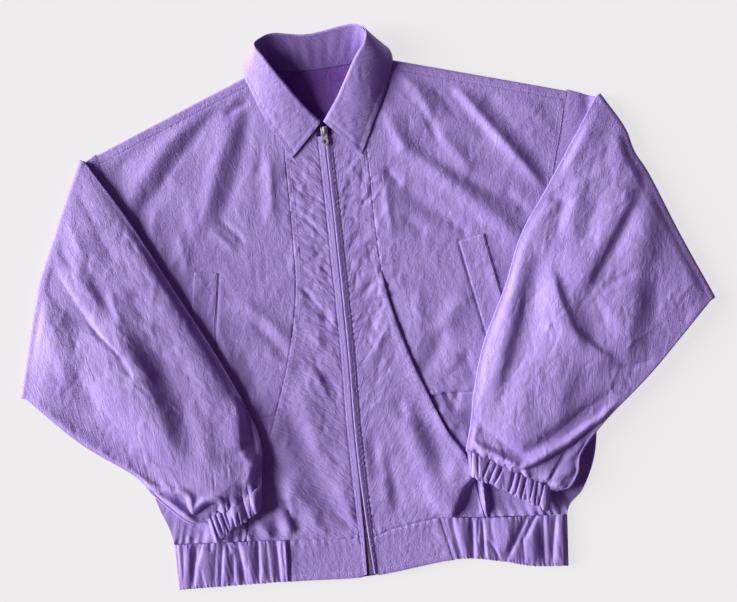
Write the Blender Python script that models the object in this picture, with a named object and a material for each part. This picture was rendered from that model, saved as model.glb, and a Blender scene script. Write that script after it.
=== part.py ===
"""A nylon zip jacket laid on its back, zipped up, with both sleeves folded over the front.

Lengths are millimetres in the jacket's own plan: x to the wearer's left, y along the zip
towards the collar, z up from the surface that it lies on. The plan's middle is the middle of
the zip, and the last section moves everything so that the origin is under the middle of the
whole jacket. Each cloth piece is a sheet or a tube through sections, and a Solidify modifier
gives it its wall.
"""
import math

import bmesh
import bpy
import numpy as np
from mathutils import Matrix

for item in list(bpy.data.objects):
    bpy.data.objects.remove(item, do_unlink=True)

MM = 0.001

# Cloth and how its layers lie on each other
WALL = 1.2
SEAM = 0.3
FRONT_LIFT = 5.2        # underside of the front over the floor, away from its edges
ARMHOLE_LIFT = 2.9      # the same at the armhole edge
SIDE_LIFT = 1.5         # the same at the side seam
EDGE_RAMP = 45.0        # width over which the front comes down to its edges
BACK_MID = WALL / 2     # middle of the back's wall, which lies on the floor

# Body outlines in plan, columns x and y
ARMHOLE = {
    "right": [(-275, 268), (-262, 222), (-257, 170), (-260, 110), (-272, 50), (-283, 10)],
    "left": [(297, 285), (285, 237), (270, 182), (268, 120), (282, 60), (300, 10)],
}
SIDE_SEAM = {
    "right": [(-273, -60), (-256, -120), (-246, -160), (-232, -207), (-232, -290)],
    "left": [(298, -60), (290, -120), (282, -159), (265, -194), (243, -221), (243, -290)],
}
SHOULDER_AT_NECK = {"right": (-72, 348.5), "left": (72, 350)}
FORWARD_SEAM = 11.0     # shoulder seam in front of the shoulder edge
BACK_NECK = [(-72, 348.5), (-40, 349), (0, 347), (40, 350), (72, 350)]
FRONT_NECK = {
    "right": [(-9, 266), (-30, 282), (-46, 298)],
    "left": [(9, 266), (28, 281), (44, 297)],
}
CENTRE_SEAM = {
    "right": [(-46, 298), (-49, 240), (-50, 150), (-54, 75), (-71, 0), (-93, -64), (-110, -107),
              (-131, -146), (-144, -213)],
    "left": [(44, 297), (50, 240), (50, 150), (54, 75), (71, 0), (93, -64), (110, -107),
             (131, -146), (143, -215)],
}
CROSS_SEAM_Y = {"right": -67, "left": -62}
WAIST = [(-232, -208), (-144, -213), (-93, -217), (0, -224), (33, -217), (90, -210), (143, -215),
         (243, -222)]
HEM = [(-232, -263), (-96, -267), (0, -271), (101, -262), (157, -270), (195, -280), (238, -284)]
LOWER_ROWS = 7          # sections up the lower side front
UPPER_ROWS = 15         # sections up the side front above it
TAB_COLUMNS = 5         # sections across each flat tab and the panel's edge over it
TAB_SEAM = {"right": (-93, -96), "left": (90, 101)}     # x at the waist seam and at the hem

# Largest folds of the front: x and y of both ends, half width and rise
FRONT_FOLDS = [
    (-134, 314, -235, 195, 16, 2.6),
    (-92, 270, -150, 150, 14, 1.8),
    (-120, 180, -190, 60, 18, 1.5),
    (-70, 120, -100, -30, 16, 1.4),
    (162, 306, 250, 170, 15, 2.8),
    (92, 342, 128, 270, 13, 2.0),
    (82, 262, 212, 108, 16, 2.4),
    (84, 150, 118, 0, 16, 1.5),
    (-60, -120, -80, -190, 14, 1.2),
    (70, -120, 90, -190, 14, 1.2),
]

# Zip: x along its bowed line, and how far the folded strips beside it stand apart
ZIP_LINE = [(-270, 0), (-105, -1.5), (0, 1), (150, 1.5), (268, 1)]      # columns y and x
STRIP_GAP = [(-269, 4.6), (-215, 2.2), (-150, 0.7), (262, 0.7)]         # columns y and half gap
STRIP_OUTER = 8.6
STRIP_WALL = 1.6
STRIP_TOP_Y = 261.7
ZIP_BOTTOM_Y = -268
TAPE_WALL = 1.0
TAPE_WIDTH = 11.5
CHAIN_WIDTH = 3.2
CHAIN_WALL = 1.5
ZIP_ROWS = 14

# Pocket welts: middle of the top end, middle of the lower end, width
WELTS = {
    "right": ((-158, 114), (-179, -18), 30),
    "left": ((163, 122), (187, -10), 32),
}

# Sleeves: outline of the fold, crown edge and underarm edge after the fold, puff along the length
FOLD_AXIS = 7.40        # height of the line that each sleeve is folded about
INNER_RADIUS = 3.85     # middle of the inner wall from that line
OUTER_RADIUS = 6.75     # middle of the outer wall from that line
LAYER_FOLLOW = 0.75     # share of the upper wall's rise that the wall under it follows
SLEEVE_FOLD = {
    "right": [(-296, 263), (-348, 149), (-365, 103), (-396, -11)],
    "left": [(337, 276), (361, 234), (370, 203), (385, 173), (414, 98), (447, 20)],
}
SLEEVE_CROWN = {
    "right": [(-245, 181), (-196, 88), (-160, 18), (-133, -42), (-116, -95), (-120, -149)],
    "left": [(261, 168), (224, 116), (198, 57), (165, -8), (147, -65), (141, -95), (131, -133)],
}
SLEEVE_UNDERARM = {
    "right": [(-328, -71), (-268, -118), (-249, -143), (-222, -172), (-205, -184), (-190, -184)],
    "left": [(363, -56), (298, -113), (266, -148), (259, -172), (246, -189), (230, -191)],
}
SLEEVE_PUFF = [(0, 0), (0.12, 3), (0.35, 8), (0.7, 9), (0.9, 7), (1, 2)]   # share of length, rise
SLEEVE_FOLDS = [
    (-330, 60, -200, -70, 20, 3.0),
    (-270, 130, -170, -20, 16, 2.5),
    (-300, -40, -190, -130, 15, 2.5),
    (372, 190, 300, 60, 16, -2.5),
    (330, 120, 200, -40, 18, 3.0),
    (380, 40, 230, -90, 16, 2.5),
]

# Cuffs: both ends of the cuff's edge, and its pleats as shares of the width and rise
CUFF_EDGE = {
    "right": ((-119, -174), (-182, -209)),
    "left": ((131, -162), (220, -214)),
}
CUFF_PLEATS = [
    (1.0, 2.6), (0.8, 2.0), (1.2, 3.0), (0.9, 2.2), (1.1, 2.8), (0.8, 1.8), (1.3, 3.0), (0.9, 2.4),
    (1.1, 2.6), (0.9, 2.0),
]
CUFF_SHORTER = 0.04     # share by which the cuff's seam is shorter than the sleeve's end
CUFF_SINK = 0.4         # share of a pleat's rise on the side that lies down

# Waistband: pleats of its gathered front stretches as shares of the width and rise
WAIST_PLEATS = {
    "right": [(1.3, 2.6), (0.8, 1.8), (1.0, 3.0), (0.7, 1.6), (1.2, 2.8), (0.9, 2.2), (1.1, 3.0),
              (0.8, 2.0), (1.0, 2.6), (0.9, 1.8), (1.3, 2.4)],
    "left": [(1.2, 2.4), (0.9, 3.0), (1.1, 2.2), (0.8, 2.8), (1.3, 3.0), (0.9, 1.8), (1.0, 2.6),
             (1.2, 3.0), (1.0, 2.2)],
}
BACK_PLEATS = 42
BACK_PLEAT_RISE = 0.8
BACK_PLEAT_LIFT = 0.03  # keeps the back pleats' valleys on the floor, not below it
SIDE_TURN = 2.0         # radius at which the band turns under at the sides

# Collar: a row for each station round the neck, from the wearer's right front to the left front.
# Columns: neck seam x, y, z; roll line x, y, z; leaf edge x, y, z; sag of the leaf's middle.
COLLAR = [
    (-8.5, 271, 7.4, -1.4, 278.5, 13, -41, 239, 9.4, -0.8),
    (-34, 291, 7.4, -20, 301, 17, -58, 270, 9.6, -1.5),
    (-54, 314, 7.4, -42, 332, 24, -71, 297, 9.8, -2.5),
    (-65, 334, 7.4, -60, 360, 30, -80, 322, 9.8, -3),
    (-66, 345, 6.4, -70, 376, 30, -87, 344, 9.2, -3),
    (-58, 346, 3.6, -62, 386, 24, -82, 362, 2.6, 0),
    (-36, 345, 2.2, -40, 388, 18, -50, 355, 0.8, 3),
    (-4, 343, 2.15, -5, 385, 15, -5, 353, 0.8, 3),
    (30, 345, 2.2, 34, 389, 17, 40, 356, 0.8, 3),
    (56, 347, 3.6, 60, 384, 25, 80, 364, 2.6, 0),
    (62, 344, 6.4, 60, 366, 31, 92, 347, 9.2, -3),
    (60, 332, 7.4, 48, 350, 29, 84, 320, 9.8, -3),
    (52, 313, 7.4, 34, 327, 23, 74, 297, 9.8, -2.5),
    (34, 291, 7.4, 20, 304, 17, 60, 270, 9.6, -1.5),
    (8.5, 271, 7.4, 1.4, 278.5, 13, 43, 235, 9.4, -0.8),
]
COLLAR_COLUMNS = 37

# Zip slider and pull
SLIDER_Y = (262.0, 273.0)
SLIDER_WIDTH = 8.4
SLIDER_Z = (3.0, 7.4)
BAIL_WIDTH = 2.2
BAIL_Y = (264.4, 272.6)
BAIL_BAR = 1.2
PULL_AXIS_Y = 270.4
PULL_AXIS_Z = 8.7
PULL_THICK = 1.6
PULL_WIDTH = 6.7
PULL_LENGTH = 20.4
PULL_WINDOW = (3.6, 9.4)
PULL_RING = (9.0, 4.6)
PULL_BAR_RADIUS = 0.85

# Colours as linear red, green, blue
LAVENDER = (0.36, 0.25, 0.58)
TAPE_VIOLET = (0.25, 0.18, 0.40)
STEEL = (0.62, 0.62, 0.64)


def smooth(points, count):
    """Evenly spaced points on a smooth curve through the given ones."""
    knots = np.array(points, dtype=float)
    padded = np.vstack([2 * knots[0] - knots[1], knots, 2 * knots[-1] - knots[-2]])
    step = np.linspace(0, 1, 16, endpoint=False)[:, None]
    fine = []
    for before, start, end, after in zip(padded, padded[1:], padded[2:], padded[3:]):
        bend = 2 * before - 5 * start + 4 * end - after
        twist = 3 * (start - end) + after - before
        fine.append(start + 0.5 * step * (end - before + step * (bend + step * twist)))
    fine = np.vstack(fine + [knots[-1:]])
    along = np.concatenate([[0], np.cumsum(np.linalg.norm(np.diff(fine, axis=0), axis=1))])
    wanted = np.linspace(0, along[-1], count)
    return np.column_stack([np.interp(wanted, along, column) for column in fine.T])


def straight(start, end, count):
    """Evenly spaced points on a straight line."""
    share = np.linspace(0, 1, count)[:, None]
    return np.array(start) * (1 - share) + np.array(end) * share


def ease(share):
    """A soft step from 0 to 1."""
    share = np.clip(share, 0, 1)
    return share * share * (3 - 2 * share)


def look_up(table, key):
    """The second column of a table at a value of its first column."""
    rows = np.array(table, dtype=float)
    rows = rows[np.argsort(rows[:, 0])]
    return np.interp(key, rows[:, 0], rows[:, 1])


def outer_x(side, y):
    """X of the body's edge, armhole and side seam, at a height y."""
    return look_up(BODY_EDGE[side][:, ::-1], y)


def centre_x(side, y):
    """X of the seam between the centre panel and the side front at a height y."""
    return look_up(smooth(CENTRE_SEAM[side], 90)[:, ::-1], y)


def waist_y(x):
    """Y of the waist seam at an x."""
    return look_up(smooth(WAIST, 60), x)


def back_waist_y(x):
    """Y of the back's waist seam at an x, straight from side to side."""
    return look_up([WAIST[0], WAIST[-1]], x)


def hem_y(x):
    """Y of the hem at an x."""
    return look_up(smooth(HEM, 60), x)


def zip_x(y):
    """X of the zip's line at a height y."""
    return look_up(smooth(ZIP_LINE, 40), y)


def rise_of(folds, x, y):
    """Height that a table of folds adds at points of the plan."""
    total = np.zeros_like(x)
    for x0, y0, x1, y1, half_width, rise in folds:
        length_squared = (x1 - x0) ** 2 + (y1 - y0) ** 2
        share = np.clip(((x - x0) * (x1 - x0) + (y - y0) * (y1 - y0)) / length_squared, 0, 1)
        away = np.hypot(x - x0 - share * (x1 - x0), y - y0 - share * (y1 - y0))
        total += rise * np.sin(math.pi * share) * np.exp(-((away / half_width) ** 2))
    return total


BODY_EDGE = {side: smooth(ARMHOLE[side] + SIDE_SEAM[side], 160) for side in ("right", "left")}


def front_under(x, y):
    """Height of the underside of the front at points of the plan."""
    x = np.asarray(x, dtype=float)
    y = np.asarray(y, dtype=float)
    inside = np.minimum(x - outer_x("right", y), outer_x("left", y) - x)
    edge = SIDE_LIFT + (ARMHOLE_LIFT - SIDE_LIFT) * ease((y + 30) / 60)
    level = ease(inside / EDGE_RAMP)
    clear_of_zip = ease((np.abs(x) - 14) / 20)
    return edge + level * (FRONT_LIFT - edge + clear_of_zip * rise_of(FRONT_FOLDS, x, y))


def on_front(plan, above=0.0):
    """Plan points raised to the middle of the front's wall."""
    height = front_under(plan[..., 0], plan[..., 1]) + WALL / 2 + above
    return np.dstack([plan, height])


def patch(bottom, top, start, end):
    """A grid between four edge curves that meet at their ends."""
    across = np.linspace(0, 1, len(bottom))[None, :, None]
    up = np.linspace(0, 1, len(start))[:, None, None]
    rows = bottom[None] * (1 - up) + top[None] * up
    columns = start[:, None] * (1 - across) + end[:, None] * across
    low = bottom[0] * (1 - across) + bottom[-1] * across
    high = top[0] * (1 - across) + top[-1] * across
    return rows + columns - (low * (1 - up) + high * up)


def draw_in(grid, by=SEAM / 2):
    """The grid with its border moved inwards, so that sewn pieces stay a gap apart."""
    moved = grid.copy()
    for edge, beside in ((0, 1), (-1, -2)):
        step = grid[beside] - grid[edge]
        moved[edge] += by * step / np.linalg.norm(step, axis=-1, keepdims=True)
        step = grid[:, beside] - grid[:, edge]
        moved[:, edge] += by * step / np.linalg.norm(step, axis=-1, keepdims=True)
    return moved


def material(name, colour, roughness, metallic=0.0):
    """A plain Principled material."""
    made = bpy.data.materials.new(name)
    made.use_nodes = True
    shader = made.node_tree.nodes["Principled BSDF"]
    shader.inputs["Base Color"].default_value = (*colour, 1.0)
    shader.inputs["Roughness"].default_value = roughness
    shader.inputs["Metallic"].default_value = metallic
    return made


NYLON = material("nylon", LAVENDER, 0.62)
TAPE = material("zip_tape", TAPE_VIOLET, 0.8)
METAL = material("zip_metal", STEEL, 0.3, 1.0)


def add_cloth(name, grids, wall=WALL, closed=False, made_of=NYLON):
    """One object from grids of points that share their edges, given its wall by Solidify."""
    shape = bmesh.new()
    for grid in grids:
        rows, columns = grid.shape[:2]
        verts = [[shape.verts.new(point * MM) for point in row] for row in grid]
        for i in range(rows - 1):
            for j in range(columns if closed else columns - 1):
                k = (j + 1) % columns
                shape.faces.new((verts[i][j], verts[i][k], verts[i + 1][k], verts[i + 1][j]))
    bmesh.ops.remove_doubles(shape, verts=shape.verts, dist=0.00001)
    bmesh.ops.recalc_face_normals(shape, faces=shape.faces)
    mesh = bpy.data.meshes.new(name)
    shape.to_mesh(mesh)
    shape.free()
    made = bpy.data.objects.new(name, mesh)
    bpy.context.collection.objects.link(made)
    mesh.materials.append(made_of)
    solidify = made.modifiers.new("wall", "SOLIDIFY")
    solidify.thickness = wall * MM
    solidify.offset = 0
    solidify.use_even_offset = True
    return made


def shoulder_line(side):
    """Both ends of the shoulder edge, and the direction across it towards the hem."""
    neck = np.array(SHOULDER_AT_NECK[side], dtype=float)
    tip = np.array(ARMHOLE[side][0], dtype=float)
    along = (tip - neck) / np.linalg.norm(tip - neck)
    across = np.array([along[1], -along[0]])
    if across[1] > 0:
        across = -across
    return neck, tip, across


def armhole_points(side):
    """Points down the armhole: shoulder edge, forward seam, then even steps to the underarm."""
    neck, tip, across = shoulder_line(side)
    seam_y = (tip + across * FORWARD_SEAM)[1]
    heights = np.concatenate([[tip[1]], np.linspace(seam_y, ARMHOLE[side][-1][1], 11)])
    return np.column_stack([outer_x(side, heights), heights])


def body_edge(side, foot_y, rows_below):
    """Points up the body's edge, from a height by the underarm to the forward seam."""
    armhole = armhole_points(side)[::-1]
    heights = np.linspace(foot_y, armhole[0, 1], rows_below + 1)[:-1]
    below = np.column_stack([outer_x(side, heights), heights])
    return np.vstack([below, armhole[:-1]])


def centre_points(side):
    """Points up the centre seam: waist to cross seam, then cross seam to neck."""
    foot_y = waist_y(CENTRE_SEAM[side][-1][0])
    lower = np.linspace(foot_y, CROSS_SEAM_Y[side], LOWER_ROWS)
    upper = np.linspace(CROSS_SEAM_Y[side], FRONT_NECK[side][-1][1], UPPER_ROWS)
    heights = np.concatenate([lower, upper[1:]])
    return np.column_stack([centre_x(side, heights), heights])


def make_back():
    """The back on the floor, with its shoulder edges carried over to the forward seams."""
    shoulder_points = 7
    neck_points = 6
    wraps = []
    top = []
    for side in ("right", "left"):
        neck, tip, across = shoulder_line(side)
        along = (tip - neck) / np.linalg.norm(tip - neck)
        edge = straight(neck, tip - along * 3 * SEAM, shoulder_points)
        seam = edge + across * (FORWARD_SEAM - SEAM / 2)
        seam_mid = front_under(seam[:, 0], seam[:, 1]) + WALL / 2
        radius = (seam_mid - BACK_MID) / 2
        fold = edge + across * (radius + WALL / 2)[:, None]
        rows = []
        for turn in np.linspace(0, math.pi, 6):
            out = fold - across * (radius * math.sin(turn))[:, None]
            rows.append(np.column_stack([out, BACK_MID + radius * (1 - math.cos(turn))]))
        rows.append(np.column_stack([seam, seam_mid]))
        wraps.append(np.array(rows))
        top.append(fold)
    neck_edge = smooth(BACK_NECK, neck_points)
    neck_edge[0] = top[0][0]
    neck_edge[-1] = top[1][0]
    top_edge = np.vstack([top[0][::-1], neck_edge[1:-1], top[1]])
    ends = {}
    for side, corner in (("right", top_edge[0]), ("left", top_edge[-1])):
        edge = body_edge(side, back_waist_y(outer_x(side, -215)), 5)
        ends[side] = np.vstack([edge, corner])
    bottom_x = np.linspace(ends["right"][0, 0], ends["left"][0, 0], len(top_edge))
    bottom = np.column_stack([bottom_x, back_waist_y(bottom_x)])
    plan = patch(bottom, top_edge, ends["right"], ends["left"])
    plan[:-1] = draw_in(plan)[:-1]
    flat = np.dstack([plan, np.full(plan.shape[:2], BACK_MID)])
    for wrap, columns in ((wraps[0], slice(0, shoulder_points)), (wraps[1], slice(-shoulder_points, None))):
        joined = flat[-1, columns]
        wrap[0] = joined[::-1] if columns.start == 0 else joined
    return add_cloth("back_panel", [flat] + wraps)


def make_front(side):
    """The three panels of one front."""
    sign = -1 if side == "right" else 1
    cross_y = CROSS_SEAM_Y[side]
    neck_end = FRONT_NECK[side][-1]
    inner_foot = zip_x(-222) + sign * (STRIP_OUTER + SEAM)

    seam_edge = centre_points(side)
    heights = np.linspace(waist_y(inner_foot), FRONT_NECK[side][0][1], len(seam_edge))
    zip_edge = np.column_stack([zip_x(heights) + sign * (STRIP_OUTER + SEAM / 2), heights])
    top = smooth(FRONT_NECK[side], TAB_COLUMNS + 3)
    top[0] = zip_edge[-1]
    over_tab = np.linspace(zip_edge[0, 0], TAB_SEAM[side][0], TAB_COLUMNS)
    past_tab = np.linspace(TAB_SEAM[side][0], seam_edge[0, 0], 4)
    bottom_x = np.concatenate([over_tab, past_tab[1:]])
    bottom = np.column_stack([bottom_x, waist_y(bottom_x)])
    centre = patch(bottom, top, zip_edge, seam_edge)
    add_cloth("front_centre_" + side, [on_front(draw_in(centre))])

    neck, tip, across = shoulder_line(side)
    shoulder = straight(neck + across * FORWARD_SEAM, tip + across * FORWARD_SEAM, 10)
    top = np.vstack([straight(neck_end, shoulder[0], 4)[:-1], shoulder])
    outer = body_edge(side, cross_y, UPPER_ROWS - 11)
    outer[-1] = shoulder[-1]
    inner = seam_edge[LOWER_ROWS - 1:]
    bottom = straight(inner[0], outer[0], len(top))
    add_cloth("front_side_" + side, [on_front(draw_in(patch(bottom, top, inner, outer)))])

    foot_y = waist_y(outer_x(side, -212))
    heights = np.linspace(foot_y, cross_y, LOWER_ROWS)
    outer = np.column_stack([outer_x(side, heights), heights])
    inner = seam_edge[:LOWER_ROWS]
    top = straight(inner[-1], outer[-1], 8)
    bottom_x = np.linspace(inner[0, 0], outer[0, 0], 8)
    bottom = np.column_stack([bottom_x, waist_y(bottom_x)])
    bottom[0] = inner[0]
    bottom[-1] = outer[0]
    add_cloth("front_lower_" + side, [on_front(draw_in(patch(bottom, top, inner, outer)))])


def make_welt(side):
    """A pocket welt, made from the points of the panel that it lies on."""
    top, foot, width = (np.array(value, dtype=float) for value in WELTS[side])
    along = (foot - top) / np.linalg.norm(foot - top)
    across = np.array([-along[1], along[0]]) * width / 2
    start = straight(foot - across, top - across, 8)
    end = straight(foot + across, top + across, 8)
    plan = patch(straight(start[0], end[0], 4), straight(start[-1], end[-1], 4), start, end)
    add_cloth("pocket_welt_" + side, [on_front(plan, WALL + SEAM)])


def make_zip_cloth(side):
    """The folded strip, the tape under it and the flat tab of the waistband, on one side."""
    sign = -1 if side == "right" else 1
    heights = np.linspace(ZIP_BOTTOM_Y, STRIP_TOP_Y, ZIP_ROWS)
    line = zip_x(heights)
    level = front_under(line, heights)
    gap = look_up(STRIP_GAP, heights)

    def strip(inner, outer, mid):
        edges = [np.column_stack([line + sign * edge, heights, mid]) for edge in (inner, outer)]
        return np.stack(edges, axis=1)

    outer_edge = STRIP_OUTER - SEAM / 2
    add_cloth("front_edge_" + side, [strip(gap, outer_edge, level + STRIP_WALL / 2)], STRIP_WALL)
    tape_mid = level - SEAM - TAPE_WALL / 2
    tape_inner = CHAIN_WIDTH / 2 + SEAM
    tape_grid = strip(tape_inner, tape_inner + TAPE_WIDTH, tape_mid)
    add_cloth("zip_tape_" + side, [tape_grid], TAPE_WALL, made_of=TAPE)

    seam_x, hem_x = TAB_SEAM[side]
    inner_x = sign * (STRIP_OUTER + SEAM / 2)
    top_x = np.linspace(inner_x + zip_x(-222), seam_x, TAB_COLUMNS)
    foot_x = np.linspace(inner_x + zip_x(-268), hem_x, TAB_COLUMNS)
    top = np.column_stack([top_x, waist_y(top_x)])
    foot = np.column_stack([foot_x, hem_y(foot_x)])
    plan = patch(foot, top, straight(foot[0], top[0], 4), straight(foot[-1], top[-1], 4))
    add_cloth("waist_tab_" + side, [on_front(draw_in(plan))])


def make_zip_chain():
    """The closed chain between the tapes, up to the slider."""
    heights = np.linspace(ZIP_BOTTOM_Y + 9, STRIP_TOP_Y, ZIP_ROWS)
    line = zip_x(heights)
    mid = front_under(line, heights) - SEAM - CHAIN_WALL / 2
    edges = [np.column_stack([line + edge, heights, mid]) for edge in (-CHAIN_WIDTH / 2, CHAIN_WIDTH / 2)]
    add_cloth("zip_chain", [np.stack(edges, axis=1)], CHAIN_WALL, made_of=METAL)


def sleeve_axis(side, share):
    """Points of the line that a sleeve is folded about, and the direction out of the jacket."""
    outline = smooth(SLEEVE_FOLD[side], 60)
    slope = np.gradient(outline, axis=0)
    out = np.column_stack([slope[:, 1], -slope[:, 0]])
    out /= np.linalg.norm(out, axis=1, keepdims=True)
    out *= -1 if (out[30, 0] > 0) == (side == "right") else 1
    axis = outline - out * (OUTER_RADIUS + WALL / 2)
    position = np.linspace(0, 1, 60)
    axis_at = np.column_stack([np.interp(share, position, column) for column in axis.T])
    out_at = np.column_stack([np.interp(share, position, column) for column in out.T])
    return axis_at, out_at


def flat_ring(plan, out, turn, outer, inner):
    """One section of a flattened tube, both walls and both edges, turned about the fold's axis."""
    edge_radius = (OUTER_RADIUS + INNER_RADIUS) / 2
    bulge = (OUTER_RADIUS - INNER_RADIUS) / 2
    along = (plan[-1] - plan[0]) / np.linalg.norm(plan[-1] - plan[0])
    first = plan[:1] - along * bulge
    last = plan[-1:] + along * bulge
    points = np.vstack([first, plan, last, plan[::-1]])
    outward = np.vstack([out[:1], out, out[-1:], out[::-1]])
    radius = np.concatenate([[edge_radius], outer, [edge_radius], inner[::-1]])
    spot = points + outward * (radius * math.sin(turn))[:, None]
    return np.column_stack([spot, FOLD_AXIS - radius * math.cos(turn)])


def make_sleeve(side):
    """A sleeve from the armhole out to its fold, over, and back across the front to the cuff."""
    armhole = armhole_points(side)
    count = len(armhole)
    share = np.linspace(0, 1, count)
    outer = np.full(count, OUTER_RADIUS)
    inner = np.full(count, INNER_RADIUS)
    armhole[:, 0] += (-SEAM if side == "right" else SEAM) / 2
    axis, out = sleeve_axis(side, share)
    rings = [flat_ring(armhole, out, 0, outer, inner)]
    rings.append(flat_ring((armhole + axis) / 2, out, 0, outer, inner))
    for turn in np.linspace(0, math.pi, 6):
        rings.append(flat_ring(axis, out, turn, outer, inner))
    crown = smooth([tuple(axis[0])] + SLEEVE_CROWN[side], 60)
    underarm = smooth([tuple(axis[-1])] + SLEEVE_UNDERARM[side], 60)
    bow = axis - straight(axis[0], axis[-1], count)
    for along in np.linspace(0, 1, 14)[1:]:
        step = int(round(along * 59))
        plan = straight(crown[step], underarm[step], count) + bow * (1 - along) ** 3
        puff = look_up(SLEEVE_PUFF, along) * np.sin(math.pi * share) ** 0.8
        puff += rise_of(SLEEVE_FOLDS, plan[:, 0], plan[:, 1]) * np.sin(math.pi * share)
        rings.append(flat_ring(plan, out, math.pi, outer + puff, inner + LAYER_FOLLOW * puff))
    add_cloth("sleeve_" + side, [np.array(rings)], closed=True)


def pleat_points(pleats, per_pleat):
    """Positions from 0 to 1 along a row of pleats, and the rise at each."""
    widths = np.array([row[0] for row in pleats])
    ends = np.concatenate([[0], np.cumsum(widths) / widths.sum()])
    places = []
    rises = []
    for start, end, (width, rise) in zip(ends, ends[1:], pleats):
        for part in np.arange(per_pleat) / per_pleat:
            places.append(start + part * (end - start))
            rises.append(rise * math.sin(math.pi * part) ** 2)
    return np.array(places + [1.0]), np.array(rises + [0.0])


def make_cuff(side):
    """A gathered band round the end of a sleeve."""
    share, rise = pleat_points(CUFF_PLEATS, 3)
    seam_ends = [np.array(SLEEVE_CROWN[side][-1], float), np.array(SLEEVE_UNDERARM[side][-1], float)]
    edge_ends = [np.array(point, float) for point in CUFF_EDGE[side]]
    seam_ends[1] = seam_ends[1] + (seam_ends[0] - seam_ends[1]) * CUFF_SHORTER
    axis, out = sleeve_axis(side, share)
    rings = []
    for along in (0.0, 0.5, 1.0):
        ends = [seam + (edge - seam) * along for seam, edge in zip(seam_ends, edge_ends)]
        plan = straight(ends[0], ends[1], 2)
        plan = plan[0] + share[:, None] * (plan[1] - plan[0])
        down = (edge_ends[0] + edge_ends[1] - seam_ends[0] - seam_ends[1]) / 2
        plan = plan + down / np.linalg.norm(down) * SEAM * 1.5 * (1 - along)
        wave = rise * (1 - 0.3 * along)
        rings.append(flat_ring(plan, out, math.pi, OUTER_RADIUS + wave, INNER_RADIUS - CUFF_SINK * wave))
    add_cloth("cuff_" + side, [np.array(rings)], closed=True)


def make_waistband():
    """The gathered band from one tab round the back to the other tab."""
    def front_stretch(side):
        share, rise = pleat_points(WAIST_PLEATS[side], 3)
        seam_x, hem_x = TAB_SEAM[side]
        side_x = WAIST[0][0] if side == "right" else WAIST[-1][0]
        hem_side_x = HEM[0][0] if side == "right" else HEM[-1][0]
        inward = 1 if side == "right" else -1
        start = inward * -SEAM / 2
        turn_x = inward * (SIDE_TURN + WALL / 2)
        at_waist = seam_x + start + share * (side_x + turn_x - seam_x - start)
        at_hem = hem_x + start + share * (hem_side_x + turn_x - hem_x - start)
        level = front_under(at_waist, waist_y(at_waist)) + WALL / 2
        turned = BACK_MID + 2 * SIDE_TURN
        level = level[0] + (turned - level[0]) * ease((share - 0.5) / 0.5)
        return np.column_stack([at_waist, at_hem, level + rise, waist_y(at_waist) - SEAM])

    def side_turn(side):
        inward = 1 if side == "right" else -1
        angles = np.radians([30, 60, 90, 120, 150])
        ends = [(WAIST[0][0], HEM[0][0]), (WAIST[-1][0], HEM[-1][0])][0 if side == "right" else 1]
        out = SIDE_TURN + WALL / 2 - SIDE_TURN * np.sin(angles)
        height = BACK_MID + SIDE_TURN * (1 + np.cos(angles))
        at_waist = ends[0] + inward * out
        return np.column_stack([at_waist, ends[1] + inward * out, height, waist_y(at_waist) - SEAM])

    right = front_stretch("right")
    left = front_stretch("left")
    share, rise = pleat_points([(1.0, BACK_PLEAT_RISE)] * BACK_PLEATS, 2)
    back = right[-1, :2] + share[:, None] * (left[-1, :2] - right[-1, :2])
    back = np.column_stack([back, BACK_MID + BACK_PLEAT_LIFT + rise, back_waist_y(back[:, 0]) - SEAM])
    path = np.vstack([right, side_turn("right"), back, side_turn("left")[::-1], left[::-1]])
    rows = []
    for down in (0.0, 0.5, 1.0):
        x = path[:, 0] + down * (path[:, 1] - path[:, 0])
        y = path[:, 3] + down * (hem_y(path[:, 1]) - path[:, 3])
        rows.append(np.column_stack([x, y, path[:, 2]]))
    add_cloth("waistband_elastic", [np.array(rows)])


def make_collar():
    """The stand from the neck seam up to the roll, and the leaf from the roll down to its edge."""
    stations = smooth(COLLAR, COLLAR_COLUMNS)
    neck = stations[:, 0:3]
    roll = stations[:, 3:6]
    edge = stations[:, 6:9]
    sag = stations[:, 9]
    stand_way = roll - neck
    stand_way /= np.linalg.norm(stand_way, axis=1, keepdims=True)
    leaf_way = edge - roll
    leaf_way /= np.linalg.norm(leaf_way, axis=1, keepdims=True)
    corner = np.arccos(np.clip(-(stand_way * leaf_way).sum(axis=1), -1, 1))
    short = (SEAM + WALL / 2 + 0.3 + WALL / 2 * np.cos(corner)) / np.sin(corner)
    stand_top = roll - stand_way * short[:, None]
    add_cloth("collar_stand", [np.array([neck + share * (stand_top - neck) for share in (0, 0.33, 0.67, 1)])])
    leaf = []
    for share in (0, 0.12, 0.3, 0.55, 0.8, 1):
        row = roll + share * (edge - roll)
        row[:, 2] -= sag * math.sin(math.pi * share)
        leaf.append(row)
    add_cloth("collar_fall", [np.array(leaf)])


def box(name, low, high):
    """A box between two corners, as an object."""
    bpy.ops.mesh.primitive_cube_add(size=1, location=[(a + b) / 2 * MM for a, b in zip(low, high)])
    made = bpy.context.object
    made.name = name
    made.scale = [(b - a) * MM for a, b in zip(low, high)]
    bpy.ops.object.transform_apply(location=True, rotation=False, scale=True)
    return made


def disc(name, centre, radius, height, lying=False):
    """A cylinder, upright or lying along x, as an object."""
    bpy.ops.mesh.primitive_cylinder_add(vertices=28, radius=radius * MM, depth=height * MM,
                                        location=[value * MM for value in centre],
                                        rotation=(0, math.pi / 2 if lying else 0, 0))
    made = bpy.context.object
    made.name = name
    bpy.ops.object.transform_apply(location=True, rotation=True, scale=False)
    return made


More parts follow.
